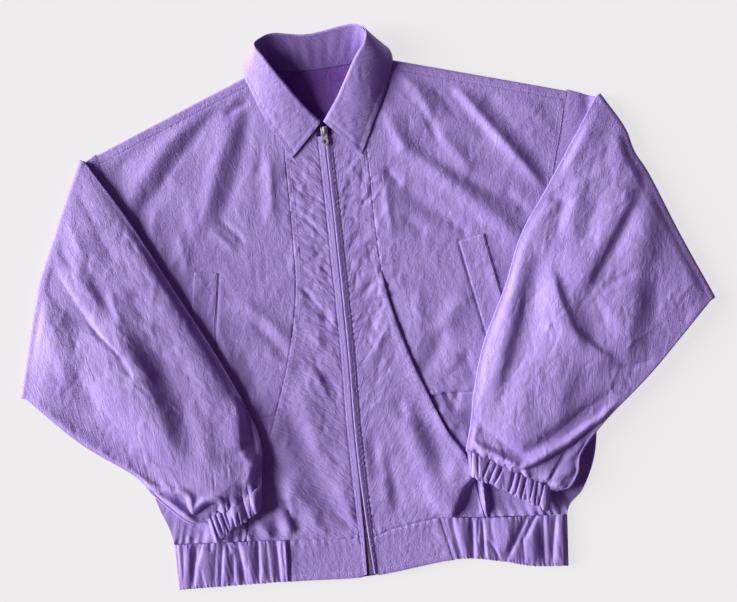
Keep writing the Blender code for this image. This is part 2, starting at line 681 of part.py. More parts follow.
def combine(target, tool, how):
    """Joins a tool to the target, or cuts it out, and removes the tool."""
    step = target.modifiers.new(how.lower(), "BOOLEAN")
    step.operation = how
    step.object = tool
    bpy.context.view_layer.objects.active = target
    bpy.ops.object.modifier_apply(modifier=step.name)
    bpy.data.objects.remove(tool, do_unlink=True)


def make_slider():
    """The slider's body with the bail that holds the pull."""
    line = zip_x(SLIDER_Y[1])
    half = SLIDER_WIDTH / 2
    body = box("zip_slider", (line - half, SLIDER_Y[0], SLIDER_Z[0]), (line + half, SLIDER_Y[1], SLIDER_Z[1]))
    bail_foot = PULL_AXIS_Z + PULL_THICK / 2 + 0.4
    bail = box("bail", (line - BAIL_WIDTH / 2, BAIL_Y[0], SLIDER_Z[1] - 1),
               (line + BAIL_WIDTH / 2, BAIL_Y[1], bail_foot + BAIL_BAR))
    hole = box("bail_hole", (line - BAIL_WIDTH, BAIL_Y[0] + BAIL_BAR, SLIDER_Z[1] - 2),
               (line + BAIL_WIDTH, BAIL_Y[1] - BAIL_BAR, bail_foot))
    combine(bail, hole, "DIFFERENCE")
    combine(body, bail, "UNION")
    body.data.materials.append(METAL)


def make_pull():
    """The pull: a round bar through the bail, two rails, and a ring at the free end."""
    line = zip_x(SLIDER_Y[1])
    half = PULL_WIDTH / 2
    low = PULL_AXIS_Z - PULL_THICK / 2
    high = PULL_AXIS_Z + PULL_THICK / 2
    ring_y = PULL_AXIS_Y - PULL_LENGTH + PULL_RING[0] / 2
    pull = box("zip_pull", (line - half, ring_y, low), (line + half, PULL_AXIS_Y, high))
    ring = disc("ring", (line, ring_y, PULL_AXIS_Z), PULL_RING[0] / 2, PULL_THICK)
    combine(pull, ring, "UNION")
    window = box("window", (line - PULL_WINDOW[0] / 2, PULL_AXIS_Y - PULL_WINDOW[1], low - 1),
                 (line + PULL_WINDOW[0] / 2, PULL_AXIS_Y + 1, high + 1))
    combine(pull, window, "DIFFERENCE")
    hole = disc("ring_hole", (line, ring_y, PULL_AXIS_Z), PULL_RING[1] / 2, PULL_THICK + 2)
    combine(pull, hole, "DIFFERENCE")
    bar = disc("bar", (line, PULL_AXIS_Y, PULL_AXIS_Z), PULL_BAR_RADIUS, PULL_WIDTH, lying=True)
    combine(pull, bar, "UNION")
    pull.data.materials.append(METAL)
    return (line, PULL_AXIS_Y, PULL_AXIS_Z)


def make_zip_stop():
    """The box that closes the lower end of the zip."""
    y = ZIP_BOTTOM_Y
    top = float(front_under(0.0, y)) - SEAM
    stop = box("zip_stop", (-1.6, y, top - 2.0), (1.6, y + 8.6, top))
    stop.data.materials.append(METAL)


make_back()
for wearer_side in ("right", "left"):
    make_front(wearer_side)
    make_welt(wearer_side)
    make_zip_cloth(wearer_side)
    make_sleeve(wearer_side)
    make_cuff(wearer_side)
make_zip_chain()
make_zip_stop()
make_waistband()
make_collar()
make_slider()
pull_axis = make_pull()

# The origin goes under the middle of the laid jacket
view = bpy.context.evaluated_depsgraph_get()
corners = []
for item in bpy.data.objects:
    seen = item.evaluated_get(view)
    corners.append(np.array([vertex.co for vertex in seen.data.vertices]))
corners = np.vstack(corners)
middle = (corners.min(axis=0) + corners.max(axis=0)) / 2
middle[2] = corners.min(axis=0)[2]
for item in bpy.data.objects:
    item.data.transform(Matrix.Translation(-middle))

# The pull turns about its own origin
hinge = np.array(pull_axis) * MM - middle
pull_object = bpy.data.objects["zip_pull"]
pull_object.data.transform(Matrix.Translation(-hinge))
pull_object.location = hinge
print("middle of the plan", middle / MM, "hinge", hinge)
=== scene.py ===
"""A lavender nylon zip jacket laid on its back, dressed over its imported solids.

Plan lengths are millimetres: x to the wearer's left, y up the zip towards the collar, z up from
the table. The plan's zero is the middle of the zip.
"""
import math

import bpy
import numpy as np
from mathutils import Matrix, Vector
from mathutils.bvhtree import BVHTree


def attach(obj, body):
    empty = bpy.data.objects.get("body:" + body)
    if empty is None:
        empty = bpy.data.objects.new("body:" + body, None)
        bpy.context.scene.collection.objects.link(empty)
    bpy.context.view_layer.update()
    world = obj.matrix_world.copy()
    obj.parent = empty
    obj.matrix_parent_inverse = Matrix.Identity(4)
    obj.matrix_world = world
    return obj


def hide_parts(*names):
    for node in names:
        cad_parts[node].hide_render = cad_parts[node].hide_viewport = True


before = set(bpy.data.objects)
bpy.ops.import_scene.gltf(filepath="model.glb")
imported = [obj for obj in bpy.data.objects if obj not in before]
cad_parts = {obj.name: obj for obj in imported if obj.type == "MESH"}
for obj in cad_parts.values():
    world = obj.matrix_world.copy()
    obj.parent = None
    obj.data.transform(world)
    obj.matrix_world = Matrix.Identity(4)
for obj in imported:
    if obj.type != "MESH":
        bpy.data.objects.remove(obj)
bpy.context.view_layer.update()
bpy.ops.object.select_all(action="DESELECT")

# Stage: a white light table seen from straight above, turned a little, in daylight that comes
# low from the left and a little from the collar's side.
MM = 0.001
CAMERA_PLACE = (0.00675, 0.0060, 1.80)
CAMERA_TURN = -6.15
VIEW_WIDTH = 0.8844
SENSOR_WIDTH = 36.0
CLOTH_LEVEL = 0.010
TABLE_SIZE = 40.0
TABLE_LEVEL = -0.0006
TABLE_COLOUR = (0.10, 0.10, 0.10, 1.0)
TABLE_GLOW_COLOUR = (1.0, 0.985, 0.99, 1.0)
TABLE_GLOW = 0.745
TABLE_ROUGHNESS = 0.85
SUN_STRENGTH = 7.7
SUN_SOFTNESS = 37.0
SUN_FROM = (-0.93, 0.14, 0.31)
SKY_COLOUR = (0.86, 0.40, 1.0, 1.0)
SKY_STRENGTH = 0.10


def principled(name):
    """A new material, its node tree and its shader."""
    made = bpy.data.materials.new(name)
    made.use_nodes = True
    return made, made.node_tree, made.node_tree.nodes["Principled BSDF"]


def fill(tree, socket, value):
    """Links an input to another node's output, or sets its value."""
    if isinstance(value, bpy.types.NodeSocket):
        tree.links.new(value, socket)
    else:
        socket.default_value = value


def fill_in(tree, to_fill, values):
    """Fills the named inputs of a node, and its other settings."""
    for key, value in values.items():
        if key in to_fill.inputs:
            fill(tree, to_fill.inputs[key], value)
        else:
            setattr(to_fill, key, value)


camera_data = bpy.data.cameras.new("camera")
camera_data.sensor_width = SENSOR_WIDTH
camera_data.lens = SENSOR_WIDTH * (CAMERA_PLACE[2] - CLOTH_LEVEL) / VIEW_WIDTH
camera = bpy.data.objects.new("camera", camera_data)
camera.location = CAMERA_PLACE
camera.rotation_euler = (0, 0, math.radians(CAMERA_TURN))
bpy.context.collection.objects.link(camera)
bpy.context.scene.camera = camera
bpy.context.scene.view_settings.view_transform = "Standard"

bpy.ops.mesh.primitive_plane_add(size=TABLE_SIZE, location=(0, 0, TABLE_LEVEL))
table = bpy.context.object
table.name = "table"
bpy.ops.object.transform_apply(location=True, rotation=False, scale=False)
table_paint, table_tree, table_shader = principled("pale_table")
fill_in(table_tree, table_shader, {"Base Color": TABLE_COLOUR, "Roughness": TABLE_ROUGHNESS,
                                   "Emission Color": TABLE_GLOW_COLOUR, "Emission Strength": TABLE_GLOW})
table.data.materials.append(table_paint)

sun_data = bpy.data.lights.new("window_light", "SUN")
sun_data.energy = SUN_STRENGTH
sun_data.angle = math.radians(SUN_SOFTNESS)
sun = bpy.data.objects.new("window_light", sun_data)
sun.rotation_euler = Vector(SUN_FROM).to_track_quat("Z", "Y").to_euler()
bpy.context.collection.objects.link(sun)
sky = bpy.data.worlds.new("room")
bpy.context.scene.world = sky
sky.use_nodes = True
fill_in(sky.node_tree, sky.node_tree.nodes["Background"], {"Color": SKY_COLOUR, "Strength": SKY_STRENGTH})


# Back panel: one width of washed nylon that lies on the table, its shoulder edges carried over
# the top to seams on the front. All cloth pieces share its weave and, stronger or fainter, its crinkle.
PLAN_MIDDLE = np.array([25.525, 52.652, 0.0])   # plan point over the frame's origin
CLOTH_WALL = 0.9
HALF_WALL = 0.6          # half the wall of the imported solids
HALF_SEAM = 0.06
BACK_MID = HALF_WALL
FRONT_LIFT = 5.2         # underside of the front in its middle, at the armholes and at the sides
ARMHOLE_LIFT = 2.9
SIDE_LIFT = 1.5
EDGE_RAMP = 58.0         # width over which the front falls to those edges
ARMHOLE = {
    "right": [(-275, 268), (-262, 222), (-257, 170), (-260, 110), (-272, 50), (-283, 10)],
    "left": [(297, 285), (285, 237), (270, 182), (268, 120), (282, 60), (300, 10)],
}
SIDE_SEAM = {
    "right": [(-273, -60), (-256, -120), (-246, -160), (-232, -207), (-232, -290)],
    "left": [(298, -60), (290, -120), (282, -159), (265, -194), (243, -221), (243, -290)],
}
SHOULDER_AT_NECK = {"right": (-72, 348.5), "left": (72, 350)}
FORWARD_SEAM = 11.0
SHOULDER_POINTS = 60
SHOULDER_TURNS = 12
BACK_NECK = [(-72, 348.5), (-40, 349), (0, 347), (40, 350), (72, 350)]
NECK_POINTS = 40
SIDE_ROWS = 110
BACK_SIDE_Y = -215       # near the end of the waist seam
NECK_SHADE_BELOW = 3.0      # faces that look up from under this height get the painted neck shade
HIGHEST_BACK_FOLD = 1.6
BACK_CRINKLE = 0.25
WELD_GAP = 0.00002       # metres
SHARP_EDGE = math.radians(62)
WAIST = [(-232, -208), (-144, -213), (-93, -217), (0, -224), (33, -217), (90, -210), (143, -215),
         (243, -222)]
LAVENDER = (0.372, 0.268, 0.622, 1.0)
LAVENDER_CREST = (0.415, 0.316, 0.670, 1.0)
LAVENDER_DEEP = (0.322, 0.218, 0.566, 1.0)
# Painted shade: a deep violet for the back's inside seen through the neck, where the collar's shade falls
NECK_SHADE = (0.205, 0.084, 0.380, 1.0)
NECK_SHADE_PALE = (0.245, 0.108, 0.440, 1.0)
NECK_SHADE_DEEP = (0.165, 0.062, 0.315, 1.0)

# Columns of every crease table: x and y of both ends, bow of the middle to the left of the way
# from the first end, half width, rise, and lean, which widens the left side and narrows the right
BACK_CREASES = [
    (-180, 250, -60, 90, 10, 14, 1.0, 0.0),
    (170, 260, 60, 60, -12, 15, 1.1, 0.0),
    (-200, 60, -90, -120, 8, 16, 1.0, 0.0),
    (210, 40, 110, -140, -8, 16, 0.9, 0.0),
    (-20, 200, 30, -60, 10, 18, 0.9, 0.0),
    (-40, 338, 50, 332, 4, 5, 0.8, 0.0),
    (-50, 318, 20, 300, -3, 6, 0.9, 0.0),
    (-10, 322, 60, 306, 3, 5, 0.7, 0.0),
]
CREASE_FADE = 0.3        # share of a crease over which each end runs out
CREASE_TIP = 0.05        # rounds the crest
SHARP_WIDTH = 7          # half width up to which a crest is sharp, and from which it is round
ROUND_WIDTH = 16
CRINKLE_WIDTHS = (1.4, 4.2)
CRINKLE_REACH = 8


def read_off(wanted, places, points):
    """Points at the wanted places of a curve whose own points have given places."""
    return np.column_stack([np.interp(wanted, places, column) for column in points.T])


def smooth(points, count):
    """Evenly spaced points on a smooth curve through the given ones."""
    knots = np.array(points, dtype=float)
    padded = np.vstack([2 * knots[0] - knots[1], knots, 2 * knots[-1] - knots[-2]])
    step = np.linspace(0, 1, 24, endpoint=False)[:, None]
    fine = []
    for before, start, end, after in zip(padded, padded[1:], padded[2:], padded[3:]):
        bend = 2 * before - 5 * start + 4 * end - after
        twist = 3 * (start - end) + after - before
        fine.append(start + 0.5 * step * (end - before + step * (bend + step * twist)))
    fine = np.vstack(fine + [knots[-1:]])
    along = run(fine)
    return read_off(np.linspace(0, along[-1], count), along, fine)


def run(points, axis=0):
    """Length along a curve, or along one way of a grid, up to each point."""
    steps = np.cumsum(np.linalg.norm(np.diff(points, axis=axis), axis=-1), axis=axis)
    return np.concatenate([np.zeros_like(np.take(steps, [0], axis=axis)), steps], axis=axis)


def unit(way):
    """Directions brought to length 1."""
    return way / np.linalg.norm(way, axis=-1, keepdims=True)


def straight(start, end, count):
    """Evenly spaced points on a straight line."""
    share = np.linspace(0, 1, count)[:, None]
    return np.array(start, dtype=float) * (1 - share) + np.array(end, dtype=float) * share


def ease(share):
    """A soft step from 0 to 1."""
    share = np.clip(share, 0, 1)
    return share * share * (3 - 2 * share)


def look_up(table_rows, key):
    """The second column of a table at a value of its first column."""
    rows = np.array(table_rows, dtype=float)
    rows = rows[np.argsort(rows[:, 0])]
    return np.interp(key, rows[:, 0], rows[:, 1])


def sample(curve, shares):
    """Points of a curve at shares of its length."""
    curve = np.array(curve, dtype=float)
    along = run(curve)
    return read_off(np.asarray(shares) * along[-1], along, curve)


def patch(bottom, top, start, end, across, up):
    """A grid between four edge curves that meet at their ends, at shares across and up."""
    across = np.asarray(across)[None, :, None]
    up = np.asarray(up)[:, None, None]
    rows = bottom[None] * (1 - up) + top[None] * up
    columns = start[:, None] * (1 - across) + end[:, None] * across
    low = bottom[0] * (1 - across) + bottom[-1] * across
    high = top[0] * (1 - across) + top[-1] * across
    return rows + columns - (low * (1 - up) + high * up)


def draw_in(grid, by=HALF_SEAM):
    """The grid with its border moved inwards, so that sewn pieces stay a gap apart."""
    moved = grid.copy()
    for edge, next_row in ((0, 1), (-1, -2)):
        moved[edge] += by * unit(grid[next_row] - grid[edge])
        moved[:, edge] += by * unit(grid[:, next_row] - grid[:, edge])
    return moved


BODY_EDGE = {side: smooth(ARMHOLE[side] + SIDE_SEAM[side], 240) for side in ("right", "left")}


def outer_x(side, y):
    """X of the body's edge, armhole and side seam, at a height y."""
    return look_up(BODY_EDGE[side][:, ::-1], y)


def inside_body(x, y):
    """How far points lie inside the body's nearer edge, along x."""
    return np.minimum(x - outer_x("right", y), outer_x("left", y) - x)


def waist_y(x):
    """Y of the waist seam at an x."""
    return look_up(smooth(WAIST, 120), x)


def body_points(side, heights):
    """Points of the body's edge at given heights."""
    return np.column_stack([outer_x(side, heights), heights])


def waist_points(x):
    """Points of the waist seam at given x."""
    return np.column_stack([x, waist_y(x)])


def back_waist_y(x):
    """Y of the back's waist seam at an x, straight from side to side."""
    return look_up([WAIST[0], WAIST[-1]], x)


def shoulder_line(side):
    """Both ends of the shoulder edge, and the direction across it towards the hem."""
    neck = np.array(SHOULDER_AT_NECK[side], dtype=float)
    tip = np.array(ARMHOLE[side][0], dtype=float)
    along = unit(tip - neck)
    across = np.array([along[1], -along[0]])
    if across[1] > 0:
        across = -across
    return neck, tip, across


def crease_height(rows, x, y):
    """Height that a table of creases adds at points of the plan."""
    total = np.zeros(np.shape(x))
    for x0, y0, x1, y1, bow, half_width, rise, lean in rows:
        length = math.hypot(x1 - x0, y1 - y0)
        way_x = (x1 - x0) / length
        way_y = (y1 - y0) / length
        share = ((x - x0) * way_x + (y - y0) * way_y) / length
        aside = (y - y0) * way_x - (x - x0) * way_y - bow * 4 * share * (1 - share)
        reach = np.where(aside > 0, half_width * (1 + lean), half_width * (1 - lean))
        fade = ease(share / CREASE_FADE) * ease((1 - share) / CREASE_FADE)
        crisp = 0.70 + 0.30 * ease((half_width - SHARP_WIDTH) / (ROUND_WIDTH - SHARP_WIDTH))
        total += rise * fade * np.exp(CREASE_TIP ** crisp - ((aside / reach) ** 2 + CREASE_TIP) ** crisp)
    return total


def crinkle_rows(seed, box, spacing, heading, spread, longest, rise):
    """Seeded small creases strewn over a box of the plan, most of them near one heading."""
    draw = np.random.default_rng(seed)
    x0, y0, x1, y1 = box
    count = int((x1 - x0) * (y1 - y0) / spacing ** 2)
    rows = []
    for _ in range(count):
        x = draw.uniform(x0, x1)
        y = draw.uniform(y0, y1)
        angle = math.radians(draw.normal(heading, spread))
        length = longest * draw.uniform(0.3, 1.0) ** 1.5
        width = draw.uniform(*CRINKLE_WIDTHS) * (0.6 + 0.4 * length / longest)
        sign = 1 if draw.random() < 0.5 else -1
        tall = sign * rise * draw.uniform(0.3, 1.0) ** 1.5
        bow = draw.normal(0, 0.06) * length
        rows.append((x, y, x + length * math.cos(angle), y + length * math.sin(angle),
                     bow, width, tall, draw.uniform(-0.4, 0.4)))
    return rows


def crinkle_height(rows, x, y):
    """Height of strewn small creases, each worked out only near itself."""
    total = np.zeros(np.shape(x))
    for row in rows:
        x0, y0, x1, y1, bow = row[:5]
        margin = abs(bow) + CRINKLE_REACH
        near = (x > min(x0, x1) - margin) & (x < max(x0, x1) + margin)
        near &= (y > min(y0, y1) - margin) & (y < max(y0, y1) + margin)
        if near.any():
            total[near] += crease_height([row], x[near], y[near])
    return total


def node(tree, kind, **values):
    """A shader node with its inputs and settings filled in."""
    made = tree.nodes.new(kind)
    fill_in(tree, made, values)
    return made


def noise(tree, vector, scale, detail, roughness=0.5, distortion=0.0):
    """A noise over a vector."""
    return node(tree, "ShaderNodeTexNoise", Vector=vector, Scale=scale, Detail=detail,
                Roughness=roughness, Distortion=distortion).outputs["Fac"]


def maths(tree, operation, *values):
    """The result of an operation on values or sockets."""
    made = node(tree, "ShaderNodeMath", operation=operation)
    for socket, value in zip(made.inputs, values):
        fill(tree, socket, value)
    return made.outputs["Value"]


def ramp(tree, factor, stops):
    """A colour that follows a factor, from rows of place and colour."""
    made = node(tree, "ShaderNodeValToRGB", Fac=factor)
    band = made.color_ramp
    while len(band.elements) < len(stops):
        band.elements.new(0.5)
    for element, (place, colour) in zip(band.elements, stops):
        element.position = place
        element.color = colour
    return made.outputs["Color"]


def bumps(tree, rows):
    """The normal over bumps one on another, from rows of height, strength and distance."""
    under = {}
    for height, strength, distance in rows:
        made = node(tree, "ShaderNodeBump", Height=height, Strength=strength, Distance=distance, **under)
        under = {"Normal": made.outputs["Normal"]}
    return under["Normal"]


def spread(tree, factor, low, high):
    """A value that follows a factor from a low to a high one."""
    return node(tree, "ShaderNodeMapRange", Value=factor, **{"To Min": low, "To Max": high}).outputs["Result"]


def nylon(name, deep, mid, crest, crinkle=1.0, heading=76, stretch=1.7):
    """Washed nylon: fine streaky creases along a heading, pale on their crests, a plain weave, a sheen."""
    made, tree, shader = principled(name)
    place = node(tree, "ShaderNodeTexCoord").outputs
    turned = node(tree, "ShaderNodeMapping", vector_type="TEXTURE", Vector=place["UV"],
                  Scale=(1.0, stretch, 1.0), Rotation=(0.0, 0.0, math.radians(heading - 90)))
    streak = turned.outputs["Vector"]
    wide = noise(tree, place["Object"], 30.0, 3.0, 0.55)
    creases = noise(tree, streak, 85.0, 3.0, 0.6, 0.9)
    crumple = noise(tree, streak, 190.0, 4.0, 0.68, 0.3)
    grain = noise(tree, streak, 640.0, 3.0, 0.62)
    fold = maths(tree, "ABSOLUTE", maths(tree, "SUBTRACT", creases, 0.5))
    blend = node(tree, "ShaderNodeMix", data_type="FLOAT", Factor=0.5, A=wide, B=grain)
    threads = [node(tree, "ShaderNodeTexWave", wave_type="BANDS", bands_direction=way,
                    Vector=place["UV"], Scale=560.0).outputs["Fac"] for way in ("X", "Y")]
    fill_in(tree, shader, {
        "Base Color": ramp(tree, blend.outputs["Result"], [(0.34, deep), (0.50, mid), (0.68, crest)]),
        "Normal": bumps(tree, [(fold, 0.36 * crinkle, 0.0030), (crumple, 0.50 * crinkle, 0.0013),
                               (grain, 0.42 * crinkle, 0.0009),
                               (maths(tree, "MULTIPLY", *threads), 0.10, 0.0002)]),
        "Roughness": spread(tree, grain, 0.46, 0.66),
        "Specular IOR Level": 0.30,
        "Sheen Weight": 0.05,
        "Sheen Roughness": 0.5,
    })
    return made


NYLON = nylon("washed_nylon", LAVENDER_DEEP, LAVENDER, LAVENDER_CREST)


def pick(*pieces):
    """Selects pieces, the first of them active."""
    bpy.ops.object.select_all(action="DESELECT")
    for piece in pieces:
        piece.select_set(True)
    bpy.context.view_layer.objects.active = pieces[0]


def cloth(name, grids, made_of=NYLON, wall=CLOTH_WALL, round_tube=False):
    """A cloth piece from grids of plan points that share edges: laid, joined and given its wall."""
    parts = []
    for grid in grids:
        if round_tube:
            grid = np.concatenate([grid, grid[:, :1]], axis=1)
        rows, columns = grid.shape[:2]
        bpy.ops.mesh.primitive_grid_add(x_subdivisions=columns - 1, y_subdivisions=rows - 1, size=1)
        part = bpy.context.object
        mesh = part.data
        mesh.vertices.foreach_set("co", ((grid - PLAN_MIDDLE) * MM).ravel())
        flat = np.dstack([run(grid, 1), run(grid, 0)])
        corners = np.zeros(len(mesh.loops), dtype=int)
        mesh.loops.foreach_get("vertex_index", corners)
        mesh.uv_layers.active.data.foreach_set("uv", (flat.reshape(-1, 2)[corners] * MM).ravel())
        parts.append(part)
    pick(*parts)
    if len(parts) > 1:
        bpy.ops.object.join()
    made = bpy.context.object
    made.name = name
    made.data.name = name
    bpy.ops.object.mode_set(mode="EDIT")
    bpy.ops.mesh.select_all(action="SELECT")
    bpy.ops.mesh.remove_doubles(threshold=WELD_GAP)
    bpy.ops.mesh.normals_make_consistent(inside=False)
    bpy.ops.object.mode_set(mode="OBJECT")
    thick = made.modifiers.new("wall", "SOLIDIFY")
    thick.thickness = wall * MM
    thick.offset = 0
    bpy.ops.object.modifier_apply(modifier="wall")
    bpy.ops.object.shade_smooth()
    bpy.ops.object.mode_set(mode="EDIT")
    bpy.ops.mesh.select_mode(type="EDGE")
    bpy.ops.mesh.select_all(action="DESELECT")
    bpy.ops.mesh.edges_select_sharp(sharpness=SHARP_EDGE)
    bpy.ops.mesh.mark_sharp()
    bpy.ops.object.mode_set(mode="OBJECT")
    made.data.materials.append(made_of)
    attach(made, "jacket")
    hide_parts(name.replace("cloth_", ""))
    return made


wraps = []
back_top = []
for side in ("right", "left"):
    neck, tip, across = shoulder_line(side)
    edge = straight(neck, tip - unit(tip - neck) * 2 * HALF_SEAM, SHOULDER_POINTS)
    seam = edge + across * (FORWARD_SEAM - HALF_SEAM)
    drop = FRONT_LIFT - ARMHOLE_LIFT
    seam_mid = ARMHOLE_LIFT + HALF_WALL + drop * ease(inside_body(seam[:, 0], seam[:, 1]) / EDGE_RAMP)
    radius = (seam_mid - BACK_MID) / 2
    fold = edge + across * (radius + HALF_WALL)[:, None]
    rows = []
    for turn in np.linspace(0, math.pi, SHOULDER_TURNS):
        out = fold - across * (radius * math.sin(turn))[:, None]
        rows.append(np.column_stack([out, BACK_MID + radius * (1 - math.cos(turn))]))
    for share in (0.5, 1.0):
        between = out + share * (seam - out)
        rows.append(np.column_stack([between, seam_mid]))
    wraps.append(np.array(rows))
    back_top.append(fold)
neck_edge = smooth(BACK_NECK, NECK_POINTS)
neck_edge[0] = back_top[0][0]
neck_edge[-1] = back_top[1][0]
top_edge = np.vstack([back_top[0][::-1], neck_edge[1:-1], back_top[1]])
side_edges = {}
for side, corner in (("right", top_edge[0]), ("left", top_edge[-1])):
    neck, tip, across = shoulder_line(side)
    low = back_waist_y(outer_x(side, BACK_SIDE_Y))
    edge = body_points(side, np.linspace(low, (tip + across * FORWARD_SEAM)[1], SIDE_ROWS))
    side_edges[side] = np.vstack([edge, corner])
bottom_x = np.linspace(side_edges["right"][0, 0], side_edges["left"][0, 0], len(top_edge))
bottom = np.column_stack([bottom_x, back_waist_y(bottom_x)])
back_plan = patch(bottom, top_edge, side_edges["right"], side_edges["left"],
                  np.linspace(0, 1, len(top_edge)), np.linspace(0, 1, SIDE_ROWS + 1))
back_plan[:-1] = draw_in(back_plan)[:-1]
back_x = back_plan[..., 0]
back_y = back_plan[..., 1]
back_crinkle = crinkle_rows(3, (-280, -220, 300, 350), 17, 35, 50, 46, 1.4)
back_rise = np.clip(crease_height(BACK_CREASES, back_x, back_y), 0, HIGHEST_BACK_FOLD)
back_rise += BACK_CRINKLE * np.clip(crinkle_height(back_crinkle, back_x, back_y), 0, 2)
back_rise[-1] = 0
back_grid = np.dstack([back_plan, BACK_MID + back_rise])
wraps[0][0] = back_grid[-1, :SHOULDER_POINTS][::-1]
wraps[1][0] = back_grid[-1, -SHOULDER_POINTS:]
back = cloth("cloth_back_panel", [back_grid] + wraps)
# The back's inside seen through the neck gets painted shade: a second, deep violet nylon on its low upward
# faces
back.data.materials.append(nylon("nylon_painted_neck_shade", NECK_SHADE_DEEP, NECK_SHADE, NECK_SHADE_PALE))
for face in back.data.polygons:
    if face.normal.z > 0.2 and face.center.z < NECK_SHADE_BELOW * MM:
        face.material_index = 1     # painted shade on the back's inside, seen through the neck


# Front panels: on each side a side front, a lower front below its cross seam, and a centre panel
# that widens to the waist. All are single nylon, sewn edge to edge and topstitched beside the seam;
# the centre panel on the wearer's left has a free edge that stands over the side front.
FRONT_NECK = {
    "right": [(-9, 266), (-30, 282), (-46, 298)],
    "left": [(9, 266), (28, 281), (44, 297)],
}
CENTRE_SEAM = {
    "right": [(-46, 298), (-49, 240), (-50, 150), (-54, 75), (-71, 0), (-93, -64), (-110, -107),
              (-131, -146), (-144, -213)],
    "left": [(44, 297), (50, 240), (50, 150), (54, 75), (71, 0), (93, -64), (110, -107),
             (131, -146), (143, -215)],
}
CROSS_SEAM_Y = {"right": -67, "left": -62}
ZIP_LINE = [(-270, 0), (-105, -1.5), (0, 1), (150, 1.5), (268, 1)]      # columns y and x
ZIP_WAIST_Y = -222
STRIP_OUTER = 8.6
FRONT_STEP = 2.4
FRONT_SIDE_Y = -212      # near the end of the waist seam
FOLD_STRENGTH = 1.35
HIGHEST_FOLD = 8.5
HIGHEST_COVERED = 4.0
DEEPEST_TROUGH = 3.5
LOWEST_FRONT = 1.95
EDGE_FADE = 24           # the folds run out over this width at the body's edge,
ZIP_CLEAR = 7            # and between these two distances from the zip
ZIP_FULL = 16
NECK_CALM = 0.7          # share of the folds that is taken away beside the neck
SEAM_DIP = 0.40          # depth and half width of a sewn line
SEAM_HALF = 0.9
RIDGE_START = 0.6        # where the ridge of a turned-in edge starts and ends
RIDGE_END = 9.5
SIDE_FADE = 18.0         # the side front's folds run out over this length below the shoulder
# Rise and reach of the left centre panel's free edge, of the side front and the lower front under
# it, and of the lower front at its cross seam
FREE_EDGE = (1.9, 11)
UNDER_FREE_EDGE = (-1.2, 7)
LOWER_UNDER_EDGE = (-2.0, 12)
LOWER_AT_CROSS = (-0.8, 9)
FREE_FROM_Y = 100
FREE_TO_Y = -205
SLEEVE_CROWN = {
    "right": [(-245, 181), (-196, 88), (-160, 18), (-133, -42), (-116, -95), (-120, -149)],
    "left": [(261, 168), (224, 116), (198, 57), (165, -8), (147, -65), (141, -95), (131, -133)],
}
CUFF_EDGE = {
    "right": ((-119, -174), (-182, -209)),
    "left": ((131, -162), (220, -214)),
}
OUTWARD = {"right": -1, "left": 1}
